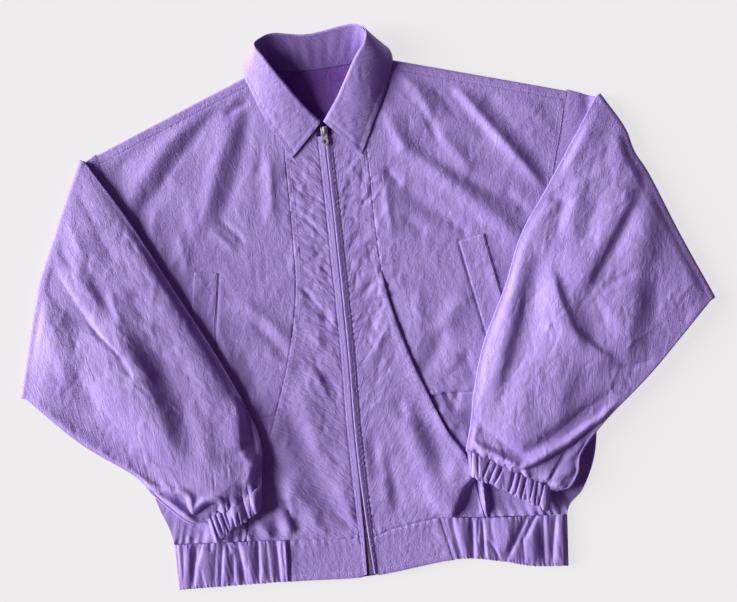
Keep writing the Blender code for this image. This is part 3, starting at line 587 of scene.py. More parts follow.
# Top, foot and width of each pocket welt
WELTS = {
    "right": ((-158, 114), (-179, -18), 30),
    "left": ((163, 122), (187, -10), 32),
}
WELT_BED = 1.7
FRONT_CREASES = [
    (-136, 330, -262, 186, 0, 12, 2.8, 0.0),
    (-106, 334, -262, 158, 3, 9, -2.3, 0.0),
    (-94, 316, -164, 146, -4, 11, 2.4, 0.0),
    (-76, 328, -142, 160, 5, 10, -2.0, 0.0),
    (-66, 262, -74, 150, 0, 7, 1.6, 0.0),
    (-74, 282, -82, 215, 0, 5, -1.2, 0.0),
    (-118, 297, -82, 315, 0, 4, -2.0, 0.3),
    (-90, 333, -112, 314, 0, 7, 1.6, 0.0),
    (-142, 179, -106, 138, 3, 3.0, -1.5, 0.0),
    (-150, 166, -116, 132, 0, 4, 1.2, 0.0),
    (-186, 172, -180, 108, 0, 6, 1.3, 0.0),
    (-160, 264, -198, 220, 0, 7, 1.5, 0.0),
    (-215, 288, -262, 232, 0, 9, -1.3, 0.0),
    (-172, 220, -164, 150, 0, 8, 1.0, 0.0),
    (-210, 205, -218, 150, 0, 7, 1.0, 0.0),
    (-135, 82, -64, 16, 5, 9, 2.0, 0.0),
    (-114, 50, -70, -4, 4, 7, -1.8, 0.0),
    (-100, 14, -62, -16, 0, 7, 1.3, 0.0),
    (-126, 22, -110, -44, 0, 9, -1.3, 0.0),
    (-152, 72, -140, -14, 0, 8, 1.0, 0.0),
    (-49, 88, -11, 40, -2, 3.4, -2.2, 0.0),
    (-48, 68, -12, 36, 0, 3, -1.4, 0.0),
    (-52, 80, -16, 52, 0, 3.5, 1.2, 0.0),
    (-44, 16, -15, -66, -3, 4.5, -0.9, 0.0),
    (-30, -16, -13, -58, 0, 3, -0.8, 0.0),
    (-44, -4, -26, -60, 0, 6, 1.3, 0.0),
    (-78, -56, -26, -200, -6, 13, -2.8, 0.0),
    (-98, -138, -50, -206, 0, 10, 2.4, 0.0),
    (-62, -18, -44, -124, 0, 12, 1.6, 0.0),
    (-112, -95, -98, -190, 0, 12, -2.2, 0.0),
    (-90, -156, -82, -198, 0, 5, 2.4, 0.0),
    (-94, -166, -89, -194, 0, 4, -2.2, 0.0),
    (-42, -186, -12, -214, 0, 4, -1.4, 0.0),
    (-66, -194, -46, -216, 0, 4, 1.2, 0.0),
    (-28, -150, -12, -212, 0, 5, 1.0, 0.0),
    (148, 326, 276, 146, 0, 7, 3.6, 0.0),
    (180, 312, 272, 176, 3, 12, -1.6, 0.0),
    (142, 322, 212, 222, -2, 9, -1.9, 0.0),
    (95, 340, 134, 260, 5, 9, 2.8, 0.0),
    (130, 264, 178, 194, 0, 9, 2.0, 0.0),
    (116, 294, 142, 230, 0, 6, -1.7, 0.0),
    (134, 312, 166, 262, 0, 5, -1.4, 0.0),
    (74, 290, 108, 220, -4, 9, 3.2, 0.0),
    (92, 240, 242, 90, 4, 13, 3.6, 0.0),
    (96, 250, 236, 146, -5, 9, -1.7, 0.0),
    (68, 218, 87, 190, 0, 5, -2.2, 0.0),
    (80, 198, 156, 136, -4, 9, -2.6, 0.0),
    (66, 208, 70, 124, 0, 6, 1.6, 0.0),
    (84, 158, 112, 128, 0, 6, -1.4, 0.0),
    (138, 146, 162, 124, 0, 5, -1.6, 0.0),
    (228, 302, 292, 260, 0, 8, -0.9, 0.0),
    (236, 288, 286, 224, 0, 7, 0.9, 0.0),
    (205, 180, 236, 140, 0, 6, -1.6, 0.0),
    (152, 64, 106, -2, 0, 12, 1.8, 0.0),
    (124, 26, 82, -40, 4, 9, -2.6, 0.0),
    (140, -8, 150, -54, 0, 8, -1.2, 0.0),
    (95, 74, 88, 8, 0, 10, 1.2, 0.0),
    (111, -58, 122, -84, 0, 2.3, -4.6, 0.0),
    (127, -58, 121, -85, 0, 2.3, -4.6, 0.0),
    (100, -74, 122, -112, 0, 8, 2.2, 0.0),
    (139, -82, 143, -130, 0, 8, -5.0, 0.5),
    (54, -62, 90, -200, 4, 13, 2.4, 0.0),
    (74, -70, 104, -186, 6, 11, -1.8, 0.0),
    (16, -98, 26, -162, 0, 8, -1.7, 0.0),
    (36, -118, 40, -208, 0, 8, -1.7, 0.0),
    (26, -108, 32, -204, 0, 7, 1.3, 0.0),
    (52, -58, 62, -92, 0, 6, -1.3, 0.0),
    (12, 188, 42, 184, 0, 2.2, -0.9, 0.0),
    (13, 236, 40, 240, 0, 2.2, -0.6, 0.0),
    (18, 58, 50, 92, 0, 5, -0.9, 0.0),
    (24, 18, 54, 62, 0, 6, -1.0, 0.0),
    (18, -22, 62, 42, 0, 8, 1.1, 0.0),
    (14, 120, 44, 160, 0, 6, -0.8, 0.0),
    (140, -146, 98, -216, 0, 18, 8.0, -0.72),
    (137, -164, 134, -216, 0, 15, -4.6, -0.7),
    (182, -160, 186, -222, 0, 30, -5.2, -0.5),
    (144, -150, 147, -220, 0, 4.0, 7.5, -0.3),
    (152, -56, 148, -140, 0, 36, -2.2, 0.0),
    (-114, -92, -100, -172, 0, 20, -2.0, 0.0),
    (-138, -176, -112, -217, 0, 5, 2.6, 0.2),
    (-108, -186, -104, -216, 0, 5, -2.4, 0.0),
    (-97, -172, -88, -214, 0, 7, 2.8, -0.5),
    (-82, -180, -80, -214, 0, 6, -1.6, 0.0),
    (-180, -206, -118, -178, 0, 11, -4.0, 0.0),
    (-150, -186, -138, -218, 0, 4, 2.2, 0.0),
    (-206, -150, -196, -214, 0, 12, -2.6, 0.0),
]


def edge_shares(length, step):
    """Shares along a panel, close together beside its two edges."""
    near = np.array([0, 0.7, 1.5, 2.5, 3.8, 5.4, 7.4])
    count = max(int((length - 2 * near[-1]) / step), 2)
    middle = np.linspace(near[-1], length - near[-1], count + 1)
    return np.concatenate([near[:-1], middle, length - near[:-1][::-1]]) / length


def panel(bottom, top, start, end, step=FRONT_STEP):
    """The plan of a panel between four edges, with close rows beside them for its seams."""
    across = edge_shares((run(bottom)[-1] + run(top)[-1]) / 2, step)
    up = edge_shares((run(start)[-1] + run(end)[-1]) / 2, step)
    return draw_in(patch(sample(bottom, across), sample(top, across), sample(start, up),
                         sample(end, up), across, up))


def edge_ways(plan):
    """For each edge of a panel: how far every point is from it, and how far along it the point is."""
    across = run(plan, 1)
    up = run(plan, 0)
    return {"start": (across, up), "end": (across[:, -1:] - across, up),
            "bottom": (up, across), "top": (up[-1:] - up, across)}


def near_edge(plan, edge, reach):
    """1 at an edge of a panel, running out over a reach."""
    return np.exp(-((edge_ways(plan)[edge][0] / reach) ** 2))


def sewn(plan, seams, seed):
    """Height that seams add: columns edge, ridge of the turned-in edge, pucker, pitch, reach, slant."""
    draw = np.random.default_rng(seed)
    ways = edge_ways(plan)
    total = np.zeros(plan.shape[:2])
    for edge, ridge, pucker, pitch, reach, slant in seams:
        away, along = ways[edge]
        if ridge:
            total -= SEAM_DIP * np.exp(-((away / SEAM_HALF) ** 2))
            total += ridge * ease((away - RIDGE_START) / 1.8) * ease((RIDGE_END - away) / 3.0)
        ends = np.cumsum(pitch * draw.uniform(0.6, 1.5, 400))
        wave = np.interp(along + slant * away + 60, ends, np.arange(400))
        strength = np.interp(along, np.arange(0, 1200, 23), draw.uniform(0.35, 1.3, 53))
        total += pucker * strength * np.sin(2 * math.pi * wave) * np.exp(-away / reach)
    return total


def zip_x(y):
    """X of the zip's line at a height y."""
    return look_up(smooth(ZIP_LINE, 60), y)


def front_level(x, y):
    """Height of the middle of the front's wall before its folds."""
    edge = SIDE_LIFT + (ARMHOLE_LIFT - SIDE_LIFT) * ease((y + 30) / 60)
    return edge + ease(inside_body(x, y) / EDGE_RAMP) * (FRONT_LIFT - edge) + HALF_WALL


FRONT_CRINKLE = crinkle_rows(11, (-285, -225, 305, 350), 11.5, 65, 40, 56, 0.5)
FRONT_CRINKLE += crinkle_rows(12, (-58, -60, -14, 270), 9.0, -34, 10, 46, 1.0)
FRONT_CRINKLE += crinkle_rows(13, (8, -60, 50, 262), 10.5, 50, 25, 42, 0.95)
CENTRE_NYLON = {
    "right": nylon("centre_nylon_right", LAVENDER_DEEP, LAVENDER, LAVENDER_CREST, 1.45, 34, 2.8),
    "left": nylon("centre_nylon_left", LAVENDER_DEEP, LAVENDER, LAVENDER_CREST, 1.2, 56, 2.2),
}


def welt_frame(side):
    """Top, foot and width of a pocket welt, and the direction down it."""
    top, foot, width = (np.array(value, dtype=float) for value in WELTS[side])
    return top, foot, width, unit(foot - top)


def welt_bed(x, y):
    """How far the fronts sink under the pocket welts, most along their inner edges."""
    total = np.zeros(np.shape(x))
    for side, outward in OUTWARD.items():
        top, foot, width, along = welt_frame(side)
        length = np.linalg.norm(foot - top)
        down = (x - top[0]) * along[0] + (y - top[1]) * along[1]
        aside = (y - top[1]) * along[0] - (x - top[0]) * along[1]
        from_inner = width / 2 + outward * aside
        present = ease((down + 2.0) / 3.0) * ease((length - down) / 20)
        present *= ease((from_inner + 2.0) / 3.0)
        total += WELT_BED * present * np.clip(1 - from_inner / width, 0, 1)
    return total


def front_relief(x, y):
    """Folds and crinkle of the front, held between the back under it and the sleeve over it."""
    total = FOLD_STRENGTH * crease_height(FRONT_CREASES, x, y) + crinkle_height(FRONT_CRINKLE, x, y)
    total *= ease(inside_body(x, y) / EDGE_FADE)
    total *= ease((np.abs(x - zip_x(y)) - ZIP_CLEAR) / (ZIP_FULL - ZIP_CLEAR))
    total *= 1 - NECK_CALM * ease((y - 225) / 30) * ease((95 - np.abs(x)) / 25)
    clear = np.minimum(x - look_up(np.array(SLEEVE_CROWN["right"])[:, ::-1], y),
                       look_up(np.array(SLEEVE_CROWN["left"])[:, ::-1], y) - x)
    cuff_line = np.where(x < 0, look_up(CUFF_EDGE["right"], x), look_up(CUFF_EDGE["left"], x))
    clear = np.maximum(clear, 2 * (cuff_line - y))
    most = HIGHEST_COVERED + (HIGHEST_FOLD - HIGHEST_COVERED) * ease((clear - 4) / 24)
    raised = most * np.tanh(np.maximum(total, 0) / most)
    lowered = DEEPEST_TROUGH * np.tanh((np.maximum(-total, 0) + welt_bed(x, y)) / DEEPEST_TROUGH)
    return raised - lowered


def front_grid(plan, seams, seed, flat_top=0.0):
    """A panel of the front raised to its height, its folds running out near the top if asked."""
    x = plan[..., 0]
    y = plan[..., 1]
    relief = front_relief(x, y)
    if flat_top:
        relief = relief * ease(edge_ways(plan)["top"][0] / flat_top)
    return np.dstack([plan, front_level(x, y) + relief + sewn(plan, seams, seed)])


centre_seam = {side: smooth(CENTRE_SEAM[side], 200) for side in ("right", "left")}
fronts = {}


def front_piece(part, side, grid, made_of=NYLON):
    """A finished panel of the front, kept clear of the back."""
    grid[..., 2] = np.maximum(grid[..., 2], LOWEST_FRONT)
    fronts[part, side] = cloth("cloth_front_" + part + "_" + side, [grid], made_of)
    return fronts[part, side]


for side, sign in OUTWARD.items():
    cross_y = CROSS_SEAM_Y[side]
    seam_up = centre_seam[side][::-1]
    foot_y = waist_y(seam_up[0, 0])
    seam_x = [look_up(seam_up[:, ::-1], y) for y in (foot_y, cross_y)]

    heights = np.linspace(foot_y, FRONT_NECK[side][-1][1], 200)
    seam_edge = np.column_stack([look_up(seam_up[:, ::-1], heights), heights])
    inner_foot = zip_x(ZIP_WAIST_Y) + sign * (STRIP_OUTER + HALF_SEAM)
    heights = np.linspace(waist_y(inner_foot), FRONT_NECK[side][0][1], 200)
    zip_edge = np.column_stack([zip_x(heights) + sign * (STRIP_OUTER + HALF_SEAM), heights])
    top = smooth(FRONT_NECK[side], 60)
    top[0] = zip_edge[-1]
    bottom = waist_points(np.linspace(zip_edge[0, 0], seam_edge[0, 0], 80))
    plan = panel(bottom, top, zip_edge, seam_edge)
    slant = -1.1 if side == "right" else 0.5
    grid = front_grid(plan, [("start", 0.04, 0.60, 6.5, 12, slant), ("end", 0.06, 0.40, 6.0, 7, 0.8),
                             ("bottom", 0.3, 0.55, 9.0, 14, 0.2)], 21)
    if side == "left":
        rise, reach = FREE_EDGE
        free = ease((FREE_FROM_Y - plan[..., 1]) / 30) * ease((plan[..., 1] - FREE_TO_Y) / 40)
        grid[..., 2] += rise * free * near_edge(plan, "end", reach)
    centre = front_piece("centre", side, grid, CENTRE_NYLON[side])

    neck, tip, across = shoulder_line(side)
    shoulder = straight(neck + across * FORWARD_SEAM, tip + across * FORWARD_SEAM, 80)
    top = np.vstack([straight(seam_edge[-1], shoulder[0], 20)[:-1], shoulder])
    outer = body_points(side, np.linspace(cross_y, shoulder[-1, 1], 200))
    outer[-1] = shoulder[-1]
    inner = seam_edge[seam_edge[:, 1] > cross_y]
    inner = np.vstack([[seam_x[1], cross_y], inner])
    plan = panel(straight(inner[0], outer[0], 80), top, inner, outer)
    grid = front_grid(plan, [("start", 0.04, 0.30, 6.0, 6, 0.6), ("end", 0.06, 0.40, 6.0, 8, 0.3),
                             ("top", 0.05, 0.30, 7.0, 8, 0.3), ("bottom", 0.3, 0.3, 8.0, 7, 0.2)],
                      31, SIDE_FADE)
    if side == "left":
        rise, reach = UNDER_FREE_EDGE
        free = ease((FREE_FROM_Y - plan[..., 1]) / 30)
        grid[..., 2] += rise * free * near_edge(plan, "start", reach)
    side_front = front_piece("side", side, grid)

    outer = body_points(side, np.linspace(waist_y(outer_x(side, FRONT_SIDE_Y)), cross_y, 100))
    inner = seam_edge[seam_edge[:, 1] < cross_y]
    inner = np.vstack([inner, [seam_x[1], cross_y]])
    bottom = waist_points(np.linspace(inner[0, 0], outer[0, 0], 60))
    bottom[0] = inner[0]
    bottom[-1] = outer[0]
    plan = panel(bottom, straight(inner[-1], outer[-1], 60), inner, outer)
    grid = front_grid(plan, [("start", 0.04, 0.25, 7.5, 6, 0.6), ("top", 0.1, 0.3, 8.0, 7, 0.2),
                             ("bottom", 0.2, 0.9, 10.0, 16, 0.1)], 41)
    if side == "left":
        for edge, (rise, reach) in (("start", LOWER_UNDER_EDGE), ("top", LOWER_AT_CROSS)):
            grid[..., 2] += rise * near_edge(plan, edge, reach)
    lower_front = front_piece("lower", side, grid)


# Pocket welts: a slanted doubled strip on each side front, stitched round, its outer long edge
# the mouth of the pocket.
WELT_STEP = 2.2
WELT_LIFT = 1.25
welts = {}
for side in ("right", "left"):
    top, foot, width, along = welt_frame(side)
    across = np.array([-along[1], along[0]]) * width / 2
    start = straight(foot - across, top - across, 40)
    end = straight(foot + across, top + across, 40)
    bottom = straight(start[0], end[0], 20)
    plan = panel(bottom, straight(start[-1], end[-1], 20), start, end, WELT_STEP)
    x = plan[..., 0]
    y = plan[..., 1]
    rise = front_level(x, y) + front_relief(x, y) + WELT_LIFT
    rise += sewn(plan, [("start", 0.35, 0.18, 8, 5, 0.3), ("end", 0.35, 0.18, 8, 5, 0.3),
                        ("top", 0.3, 0.1, 8, 4, 0.0)], 51)
    welts[side] = cloth("cloth_pocket_welt_" + side, [np.dstack([plan, rise])])


# Zip: a narrow folded strip along each front edge, a woven tape under it, and silver teeth between
# the tapes that show where the fronts part at the hem.
STRIP_GAP = [(-269, 4.6), (-215, 2.2), (-150, 0.7), (262, 0.7)]      # columns y and half gap
STRIP_PROFILE = [(0.0, 0.45), (0.04, 0.62), (0.1, 0.66), (0.25, 0.55), (0.4, 0.42), (0.55, 0.29),
                 (0.7, 0.16), (0.85, 0.03), (0.95, -0.06), (1.0, -0.14)]      # columns share and lift
STRIP_TILT = {"right": 1.0, "left": 2.3}
STRIP_PUCKER = {"right": 0.12, "left": 0.50}
STRIP_PITCH = 5.2
STRIP_BASE = 0.15
STRIP_TOP_Y = 261.7
ZIP_BOTTOM_Y = -268
TAPE_WIDTH = 11.5
TAPE_WALL = 0.8
TAPE_DROP = 1.4
TAPE_RIPPLE = 0.12
CHAIN_WIDTH = 3.2
CHAIN_GAP = 0.3
TAPE_VIOLET = (0.205, 0.145, 0.335, 1.0)
TAPE_DEEP = (0.160, 0.110, 0.270, 1.0)
TAPE_PALE = (0.260, 0.190, 0.410, 1.0)
TAPE = nylon("woven_tape", TAPE_DEEP, TAPE_VIOLET, TAPE_PALE, 0.5)
strips = {}
for side, sign in OUTWARD.items():
    heights = np.linspace(ZIP_BOTTOM_Y, STRIP_TOP_Y, 250)
    line = zip_x(heights)
    level = front_level(line, heights)
    gap = look_up(STRIP_GAP, heights)
    draw = np.random.default_rng(61 + sign)
    ends = np.cumsum(STRIP_PITCH * draw.uniform(0.7, 1.4, 400))
    columns = []
    for share, lift in STRIP_PROFILE:
        x = line + sign * (gap + share * (STRIP_OUTER - HALF_SEAM - gap))
        wave = np.interp(heights - 7 * share + 300, ends, np.arange(400))
        wrinkle = STRIP_PUCKER[side] * math.sin(math.pi * share) ** 0.5 * np.sin(2 * math.pi * wave)
        columns.append(np.column_stack([x, heights, level + STRIP_BASE + STRIP_TILT[side] * lift + wrinkle]))
    strips[side] = cloth("cloth_front_edge_" + side, [np.stack(columns, axis=1)])

    tape_x = CHAIN_WIDTH / 2 + CHAIN_GAP + TAPE_WIDTH * np.linspace(0, 1, 9)
    columns = []
    for x in tape_x:
        ripple = TAPE_RIPPLE * np.sin(heights / 3.1 + x)
        columns.append(np.column_stack([line + sign * x, heights, level - TAPE_DROP + ripple]))
    tape = cloth("cloth_zip_tape_" + side, [np.stack(columns, axis=1)], TAPE, TAPE_WALL)


def metal(name, colour, rough):
    """Silvered zip metal with fine scratches and a little dulling."""
    made, tree, shader = principled(name)
    place = node(tree, "ShaderNodeTexCoord").outputs["Object"]
    stretch = node(tree, "ShaderNodeMapping", Vector=place, Scale=(1.0, 6.0, 1.0)).outputs["Vector"]
    scratch = noise(tree, stretch, 900.0, 4.0, 0.7)
    dull = noise(tree, place, 260.0, 2.0)
    dulled = tuple(value * 0.55 for value in colour)
    fill_in(tree, shader, {
        "Base Color": ramp(tree, dull, [(0.30, dulled + (1.0,)), (0.60, colour + (1.0,))]),
        "Roughness": spread(tree, scratch, rough - 0.1, rough + 0.18),
        "Normal": bumps(tree, [(scratch, 0.12, 0.0002)]),
        "Metallic": 0.72,
    })
    return made


SILVER = metal("zip_silver", (0.80, 0.79, 0.77), 0.36)


def joined_copies(name, shape_points, shape_faces, places):
    """One mesh of many copies of a small shape, each placed by a matrix of axes and an origin."""
    points = []
    faces = []
    for axes, origin in places:
        first = len(points)
        points.extend(np.asarray(shape_points) @ np.asarray(axes) + np.asarray(origin))
        faces.extend([tuple(index + first for index in face) for face in shape_faces])
    mesh = bpy.data.meshes.new(name)
    mesh.from_pydata([tuple((point - PLAN_MIDDLE) * MM) for point in points], [], faces)
    mesh.update()
    made = bpy.data.objects.new(name, mesh)
    bpy.context.collection.objects.link(made)
    return made


TOOTH_PITCH = 2.4
TOOTH_DROP = 1.35
TOOTH_RINGS = [(-1.9, 0.75, 0.55), (0.1, 0.62, 0.8), (1.0, 0.45, 0.5)]      # columns x, half width, top
CHAIN_FOOT = 9           # the chain starts this far above the bottom of the zip
tooth_points = [(x, y, z) for x, half, top in TOOTH_RINGS
                for y, z in ((-half, -0.5), (half, -0.5), (half, top * 0.7), (half * 0.5, top),
                             (-half * 0.5, top), (-half, top * 0.7))]
tooth_faces = [(ring * 6 + i, ring * 6 + (i + 1) % 6, ring * 6 + 6 + (i + 1) % 6, ring * 6 + 6 + i)
               for ring in (0, 1) for i in range(6)]
tooth_faces += [(5, 4, 3, 2, 1, 0), (12, 13, 14, 15, 16, 17)]
tooth_places = []
for step in range(int((STRIP_TOP_Y - ZIP_BOTTOM_Y - CHAIN_FOOT) / (TOOTH_PITCH / 2))):
    y = ZIP_BOTTOM_Y + CHAIN_FOOT + 0.5 + step * TOOTH_PITCH / 2
    flip = 1 if step % 2 else -1
    x = float(zip_x(y))
    z = float(front_level(np.array(x), np.array(y))) - TOOTH_DROP
    tooth_places.append((np.diag([flip, flip, 1.0]), (x, y, z)))
teeth = joined_copies("zip_teeth", tooth_points, tooth_faces, tooth_places)
teeth.data.materials.append(SILVER)
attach(teeth, "jacket")
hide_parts("zip_chain")


# Waistband: flat doubled tabs beside the zip, then a band gathered on elastic that runs round the
# sides and across the back.
HEM = [(-232, -263), (-96, -267), (0, -271), (101, -262), (157, -270), (195, -280), (238, -284)]
TAB_SEAM = {"right": (-93, -96), "left": (90, 101)}      # x at the waist and at the hem
TAB_STEP = 2.0
TAB_CRINKLE = 0.8
SIDE_TURN = 2.0
WAIST_GAP = 0.3
BAND_WALL = 1.1
BAND_PUFF = 3.7
LOWEST_GATHER = -1.6
# Painted shade: the waistband and cuffs use a darker lavender, for the self-shadowing of fine gathers that
# are not modelled
GATHERED_SHADE_MID = (0.330, 0.234, 0.562, 1.0)
GATHERED_SHADE_PALE = (0.380, 0.286, 0.625, 1.0)
GATHERED_SHADE_DEEP = (0.272, 0.180, 0.492, 1.0)
GATHERED_SHADED_NYLON = nylon("gathered_nylon_painted_shade", GATHERED_SHADE_DEEP, GATHERED_SHADE_MID, GATHERED_SHADE_PALE, 0.8, 90, 2.2)
# Pinched valleys between the gathers, and a few ridges: columns of a crease table without the lean
GATHERS = [
    (-219, -200, -228, -272, 0, 5.8, -1.9),
    (-214, -200, -219, -272, 0, 3, 0.9),
    (-202, -200, -217, -272, 0, 5.2, -4.3),
    (-196, -206, -207, -236, 0, 3.2, -1.9),
    (-203, -236, -199, -272, 0, 3.2, -1.4),
    (-185, -204, -189, -222, 0, 3.2, -1.7),
    (-180, -206, -190, -272, 0, 3.8, -1.6),
    (-172, -204, -182, -272, 0, 3.8, -2.8),
    (-173, -200, -164, -228, 0, 3.5, -2.8),
    (-163, -218, -168, -272, 2, 5.2, -3.1),
    (-169, -206, -158, -222, 0, 2.9, -1.9),
    (-157, -200, -151, -272, 1, 4.6, -4.4),
    (-146, -232, -148, -272, 0, 4.9, -1.4),
    (-129, -200, -135, -272, 0, 4.1, -4.0),
    (-121, -206, -121, -272, 0, 4.3, -2.0),
    (-109, -200, -109, -276, 0, 4.9, -4.4),
    (-101, -206, -102, -276, 0, 3.2, -1.2),
    (94, -204, 101, -242, 0, 3.2, -1.2),
    (103, -200, 115, -276, -2, 6.4, -3.4),
    (130, -200, 124, -276, 0, 4.3, -4.4),
    (137, -206, 131, -250, 0, 2.6, -1.4),
    (141, -204, 138, -276, 0, 3.5, -3.3),
    (151, -202, 156, -262, -3, 6.4, -1.9),
    (168, -208, 164, -262, 3, 6, 1.6),
    (143, -240, 157, -276, 3, 2.9, -2.0),
    (202, -208, 160, -276, 0, 3.8, -3.4),
    (214, -206, 184, -252, 0, 3.5, -3.7),
    (186, -238, 186, -280, 0, 3.5, -1.9),
    (198, -226, 197, -280, 0, 6, 1.4),
    (214, -212, 209, -286, 0, 5.2, -3.7),
    (230, -212, 217, -288, 0, 5.2, -4.4),
    (238, -214, 235, -290, 0, 4.3, -1.4),
]
GATHER_LEAN = -0.5
BACK_GATHER_RISE = 0.8
BACK_GATHER_PITCH = 11
# Seed, pitch and rise of the puckers at the hem and at the waist seam, and of those between
HEM_PUCKERS = (76, 5.0, 2.0)
WAIST_PUCKERS = (77, 6.0, 1.2)
FINE_PUCKERS = (86, 7.5, 0.45)
HEM_FRILL = 1.8


def hem_y(x):
    """Y of the hem at an x."""
    return look_up(smooth(HEM, 120), x)


def pucker_row(x, seed, pitch):
    """A row of small uneven puckers along a line of elastic."""
    draw = np.random.default_rng(seed)
    ends = np.cumsum(pitch * draw.uniform(0.5, 1.6, 300))
    depth = draw.uniform(0.3, 1.0, 300)
    wave = np.interp(x, ends - 400, np.arange(300))
    return np.abs(np.sin(math.pi * wave)) ** 0.7 * np.interp(x, ends - 400, depth)


def pinched(rows, lean):
    """Crease rows from rows without a lean: valleys lean alike, ridges don't."""
    return [row + (lean if row[6] < 0 else 0.0,) for row in rows]


def puckers(x, row):
    """Puckers about their middle height, from a row of seed, pitch and rise."""
    seed, pitch, rise = row
    return rise * (pucker_row(x, seed, pitch) - 0.5)


tabs = {}
for side, sign in OUTWARD.items():
    seam_x, hem_x = TAB_SEAM[side]
    inner_x = sign * (STRIP_OUTER + HALF_SEAM)
    top_x = np.linspace(inner_x + zip_x(ZIP_WAIST_Y), seam_x, 40)
    foot_x = np.linspace(inner_x + zip_x(ZIP_BOTTOM_Y), hem_x, 40)
    top = waist_points(top_x)
    foot = np.column_stack([foot_x, hem_y(foot_x)])
    plan = panel(foot, top, straight(foot[0], top[0], 20), straight(foot[-1], top[-1], 20), TAB_STEP)
    x = plan[..., 0]
    y = plan[..., 1]
    rise = front_level(x, np.maximum(y, ZIP_WAIST_Y))
    rise += TAB_CRINKLE * crinkle_height(FRONT_CRINKLE, x, y + 40) * ease((np.abs(x) - 10) / 12)
    rise += sewn(plan, [("top", 0.3, 0.30, 8, 10, 0.2), ("bottom", 0.25, 0.22, 9, 8, 0.2),
                        ("end", 0.3, 0.25, 8, 7, 0.2)], 71)
    tabs[side] = cloth("cloth_waist_tab_" + side, [np.dstack([plan, rise])], wall=BAND_WALL)

# Columns of the path round the band: x at the waist and at the hem, height, y at the waist, and
# how much of the front's gathers the place has
stretches = {}
turns = {}
for side, inward in (("right", 1), ("left", -1)):
    share = np.linspace(0, 1, 170)
    seam_x, hem_x = TAB_SEAM[side]
    end_row = 0 if side == "right" else -1
    turn_x = inward * (SIDE_TURN + HALF_WALL)
    start = -inward * HALF_SEAM
    at_waist = seam_x + start + share * (WAIST[end_row][0] + turn_x - seam_x - start)
    at_hem = hem_x + start + share * (HEM[end_row][0] + turn_x - hem_x - start)
    level = front_level(at_waist, waist_y(at_waist))
    level = level[0] + (BACK_MID + 2 * SIDE_TURN - level[0]) * ease((share - 0.5) / 0.5)
    weight = ease(share / 0.04) * ease((1 - share) / 0.03)
    stretches[side] = np.column_stack([at_waist, at_hem, level, waist_y(at_waist) - WAIST_GAP, weight])
    angles = np.radians(np.linspace(18, 162, 9))
    out = inward * (SIDE_TURN + HALF_WALL - SIDE_TURN * np.sin(angles))
    at_waist = WAIST[end_row][0] + out
    height = BACK_MID + SIDE_TURN * (1 + np.cos(angles))
    none = np.zeros(len(angles))
    waist_edge = waist_y(at_waist) - WAIST_GAP
    turns[side] = np.column_stack([at_waist, HEM[end_row][0] + out, height, waist_edge, none])
ends = [stretches["right"][-1, :2], stretches["left"][-1, :2]]
share = np.linspace(0, 1, 340)
across = ends[0] + share[:, None] * (ends[1] - ends[0])
back_height = BACK_MID + BACK_GATHER_RISE * pucker_row(across[:, 0], 75, BACK_GATHER_PITCH)
back_run = np.column_stack([across, back_height, back_waist_y(across[:, 0]) - WAIST_GAP, 0 * share])
path = np.vstack([stretches["right"], turns["right"], back_run, turns["left"][::-1], stretches["left"][::-1]])
top_x, foot_x, level, top_y, weight = path.T
foot_y = hem_y(foot_x) + HEM_FRILL * pucker_row(foot_x, *HEM_PUCKERS[:2]) * weight
band_rows = []
for down in np.concatenate([[0, 0.015, 0.03, 0.05], np.linspace(0.08, 0.93, 26), [0.955, 0.975, 0.99, 1.0]]):
    x = top_x + down * (foot_x - top_x)
    y = top_y + down * (foot_y - top_y)
    pinch = 0.30 + 0.70 * math.sin(math.pi * (0.06 + 0.88 * down)) ** 0.6
    folds = crease_height(pinched(GATHERS, GATHER_LEAN), x, y)
    small = puckers(x, HEM_PUCKERS) * math.exp(-(1 - down) / 0.07)
    small += puckers(x, WAIST_PUCKERS) * math.exp(-down / 0.09)
    small += puckers(x + 2.5 * math.sin(5 * down), FINE_PUCKERS)
    gathers = np.maximum(BAND_PUFF * pinch + folds * (0.45 + 0.55 * pinch) + small, LOWEST_GATHER)
    band_rows.append(np.column_stack([x, y, level + weight * gathers]))
band = cloth("cloth_waistband_elastic", [np.array(band_rows)], GATHERED_SHADED_NYLON, BAND_WALL)


# Collar: a stand sewn round the neck, and a pointed leaf sewn to its top that rolls over and
# lies down on the fronts. Both are doubled nylon, the leaf topstitched round its free edges.
# A row for each station from the right front round the back to the left front. Columns: neck
# seam x, y, z; roll line x, y, z; leaf edge x, y, z; sag of the leaf's middle.
COLLAR = [
    (-8.5, 271, 7.4, -1.4, 278.5, 10.2, -41, 239, 7.3, 0.1),
    (-34, 291, 7.4, -20, 301, 15, -58, 270, 7.4, 0.2),
    (-54, 314, 7.4, -42, 332, 24, -71, 297, 7.5, 0.6),
    (-65, 334, 5.2, -60, 360, 30, -80, 322, 7.8, 1.2),
    (-66, 345, 2.6, -70, 376, 30, -87, 344, 8.4, 1.5),
    (-58, 346, 1.9, -62, 384, 25, -82, 362, 2.6, 0),
    (-36, 345, 1.9, -46, 389, 19, -50, 355, 1.4, 3),
    (-4, 343, 1.9, -7, 384, 15, -5, 353, 1.4, 3),
    (30, 345, 1.9, 44, 390, 18, 40, 356, 1.4, 3),
    (56, 347, 1.9, 62, 383, 26, 80, 364, 2.6, 0),
    (62, 344, 2.6, 60, 366, 31, 92, 347, 8.4, -3.8),
    (60, 332, 5.2, 48, 350, 29, 84, 320, 7.8, -3.8),
    (52, 313, 7.4, 34, 327, 23, 74, 297, 7.5, -3.2),
    (34, 291, 7.4, 20, 304, 15, 60, 270, 7.4, -1.8),
    (8.5, 271, 7.4, 1.4, 278.5, 10.2, 43, 235, 7.3, -0.8),
]
COLLAR_WALL = 1.1
STAND_RIPPLE = 0.7
LEAF_CRINKLE = 0.5
LEAF_PUCKER = 0.4
LEAF_EDGES = ("start", "end", "top")
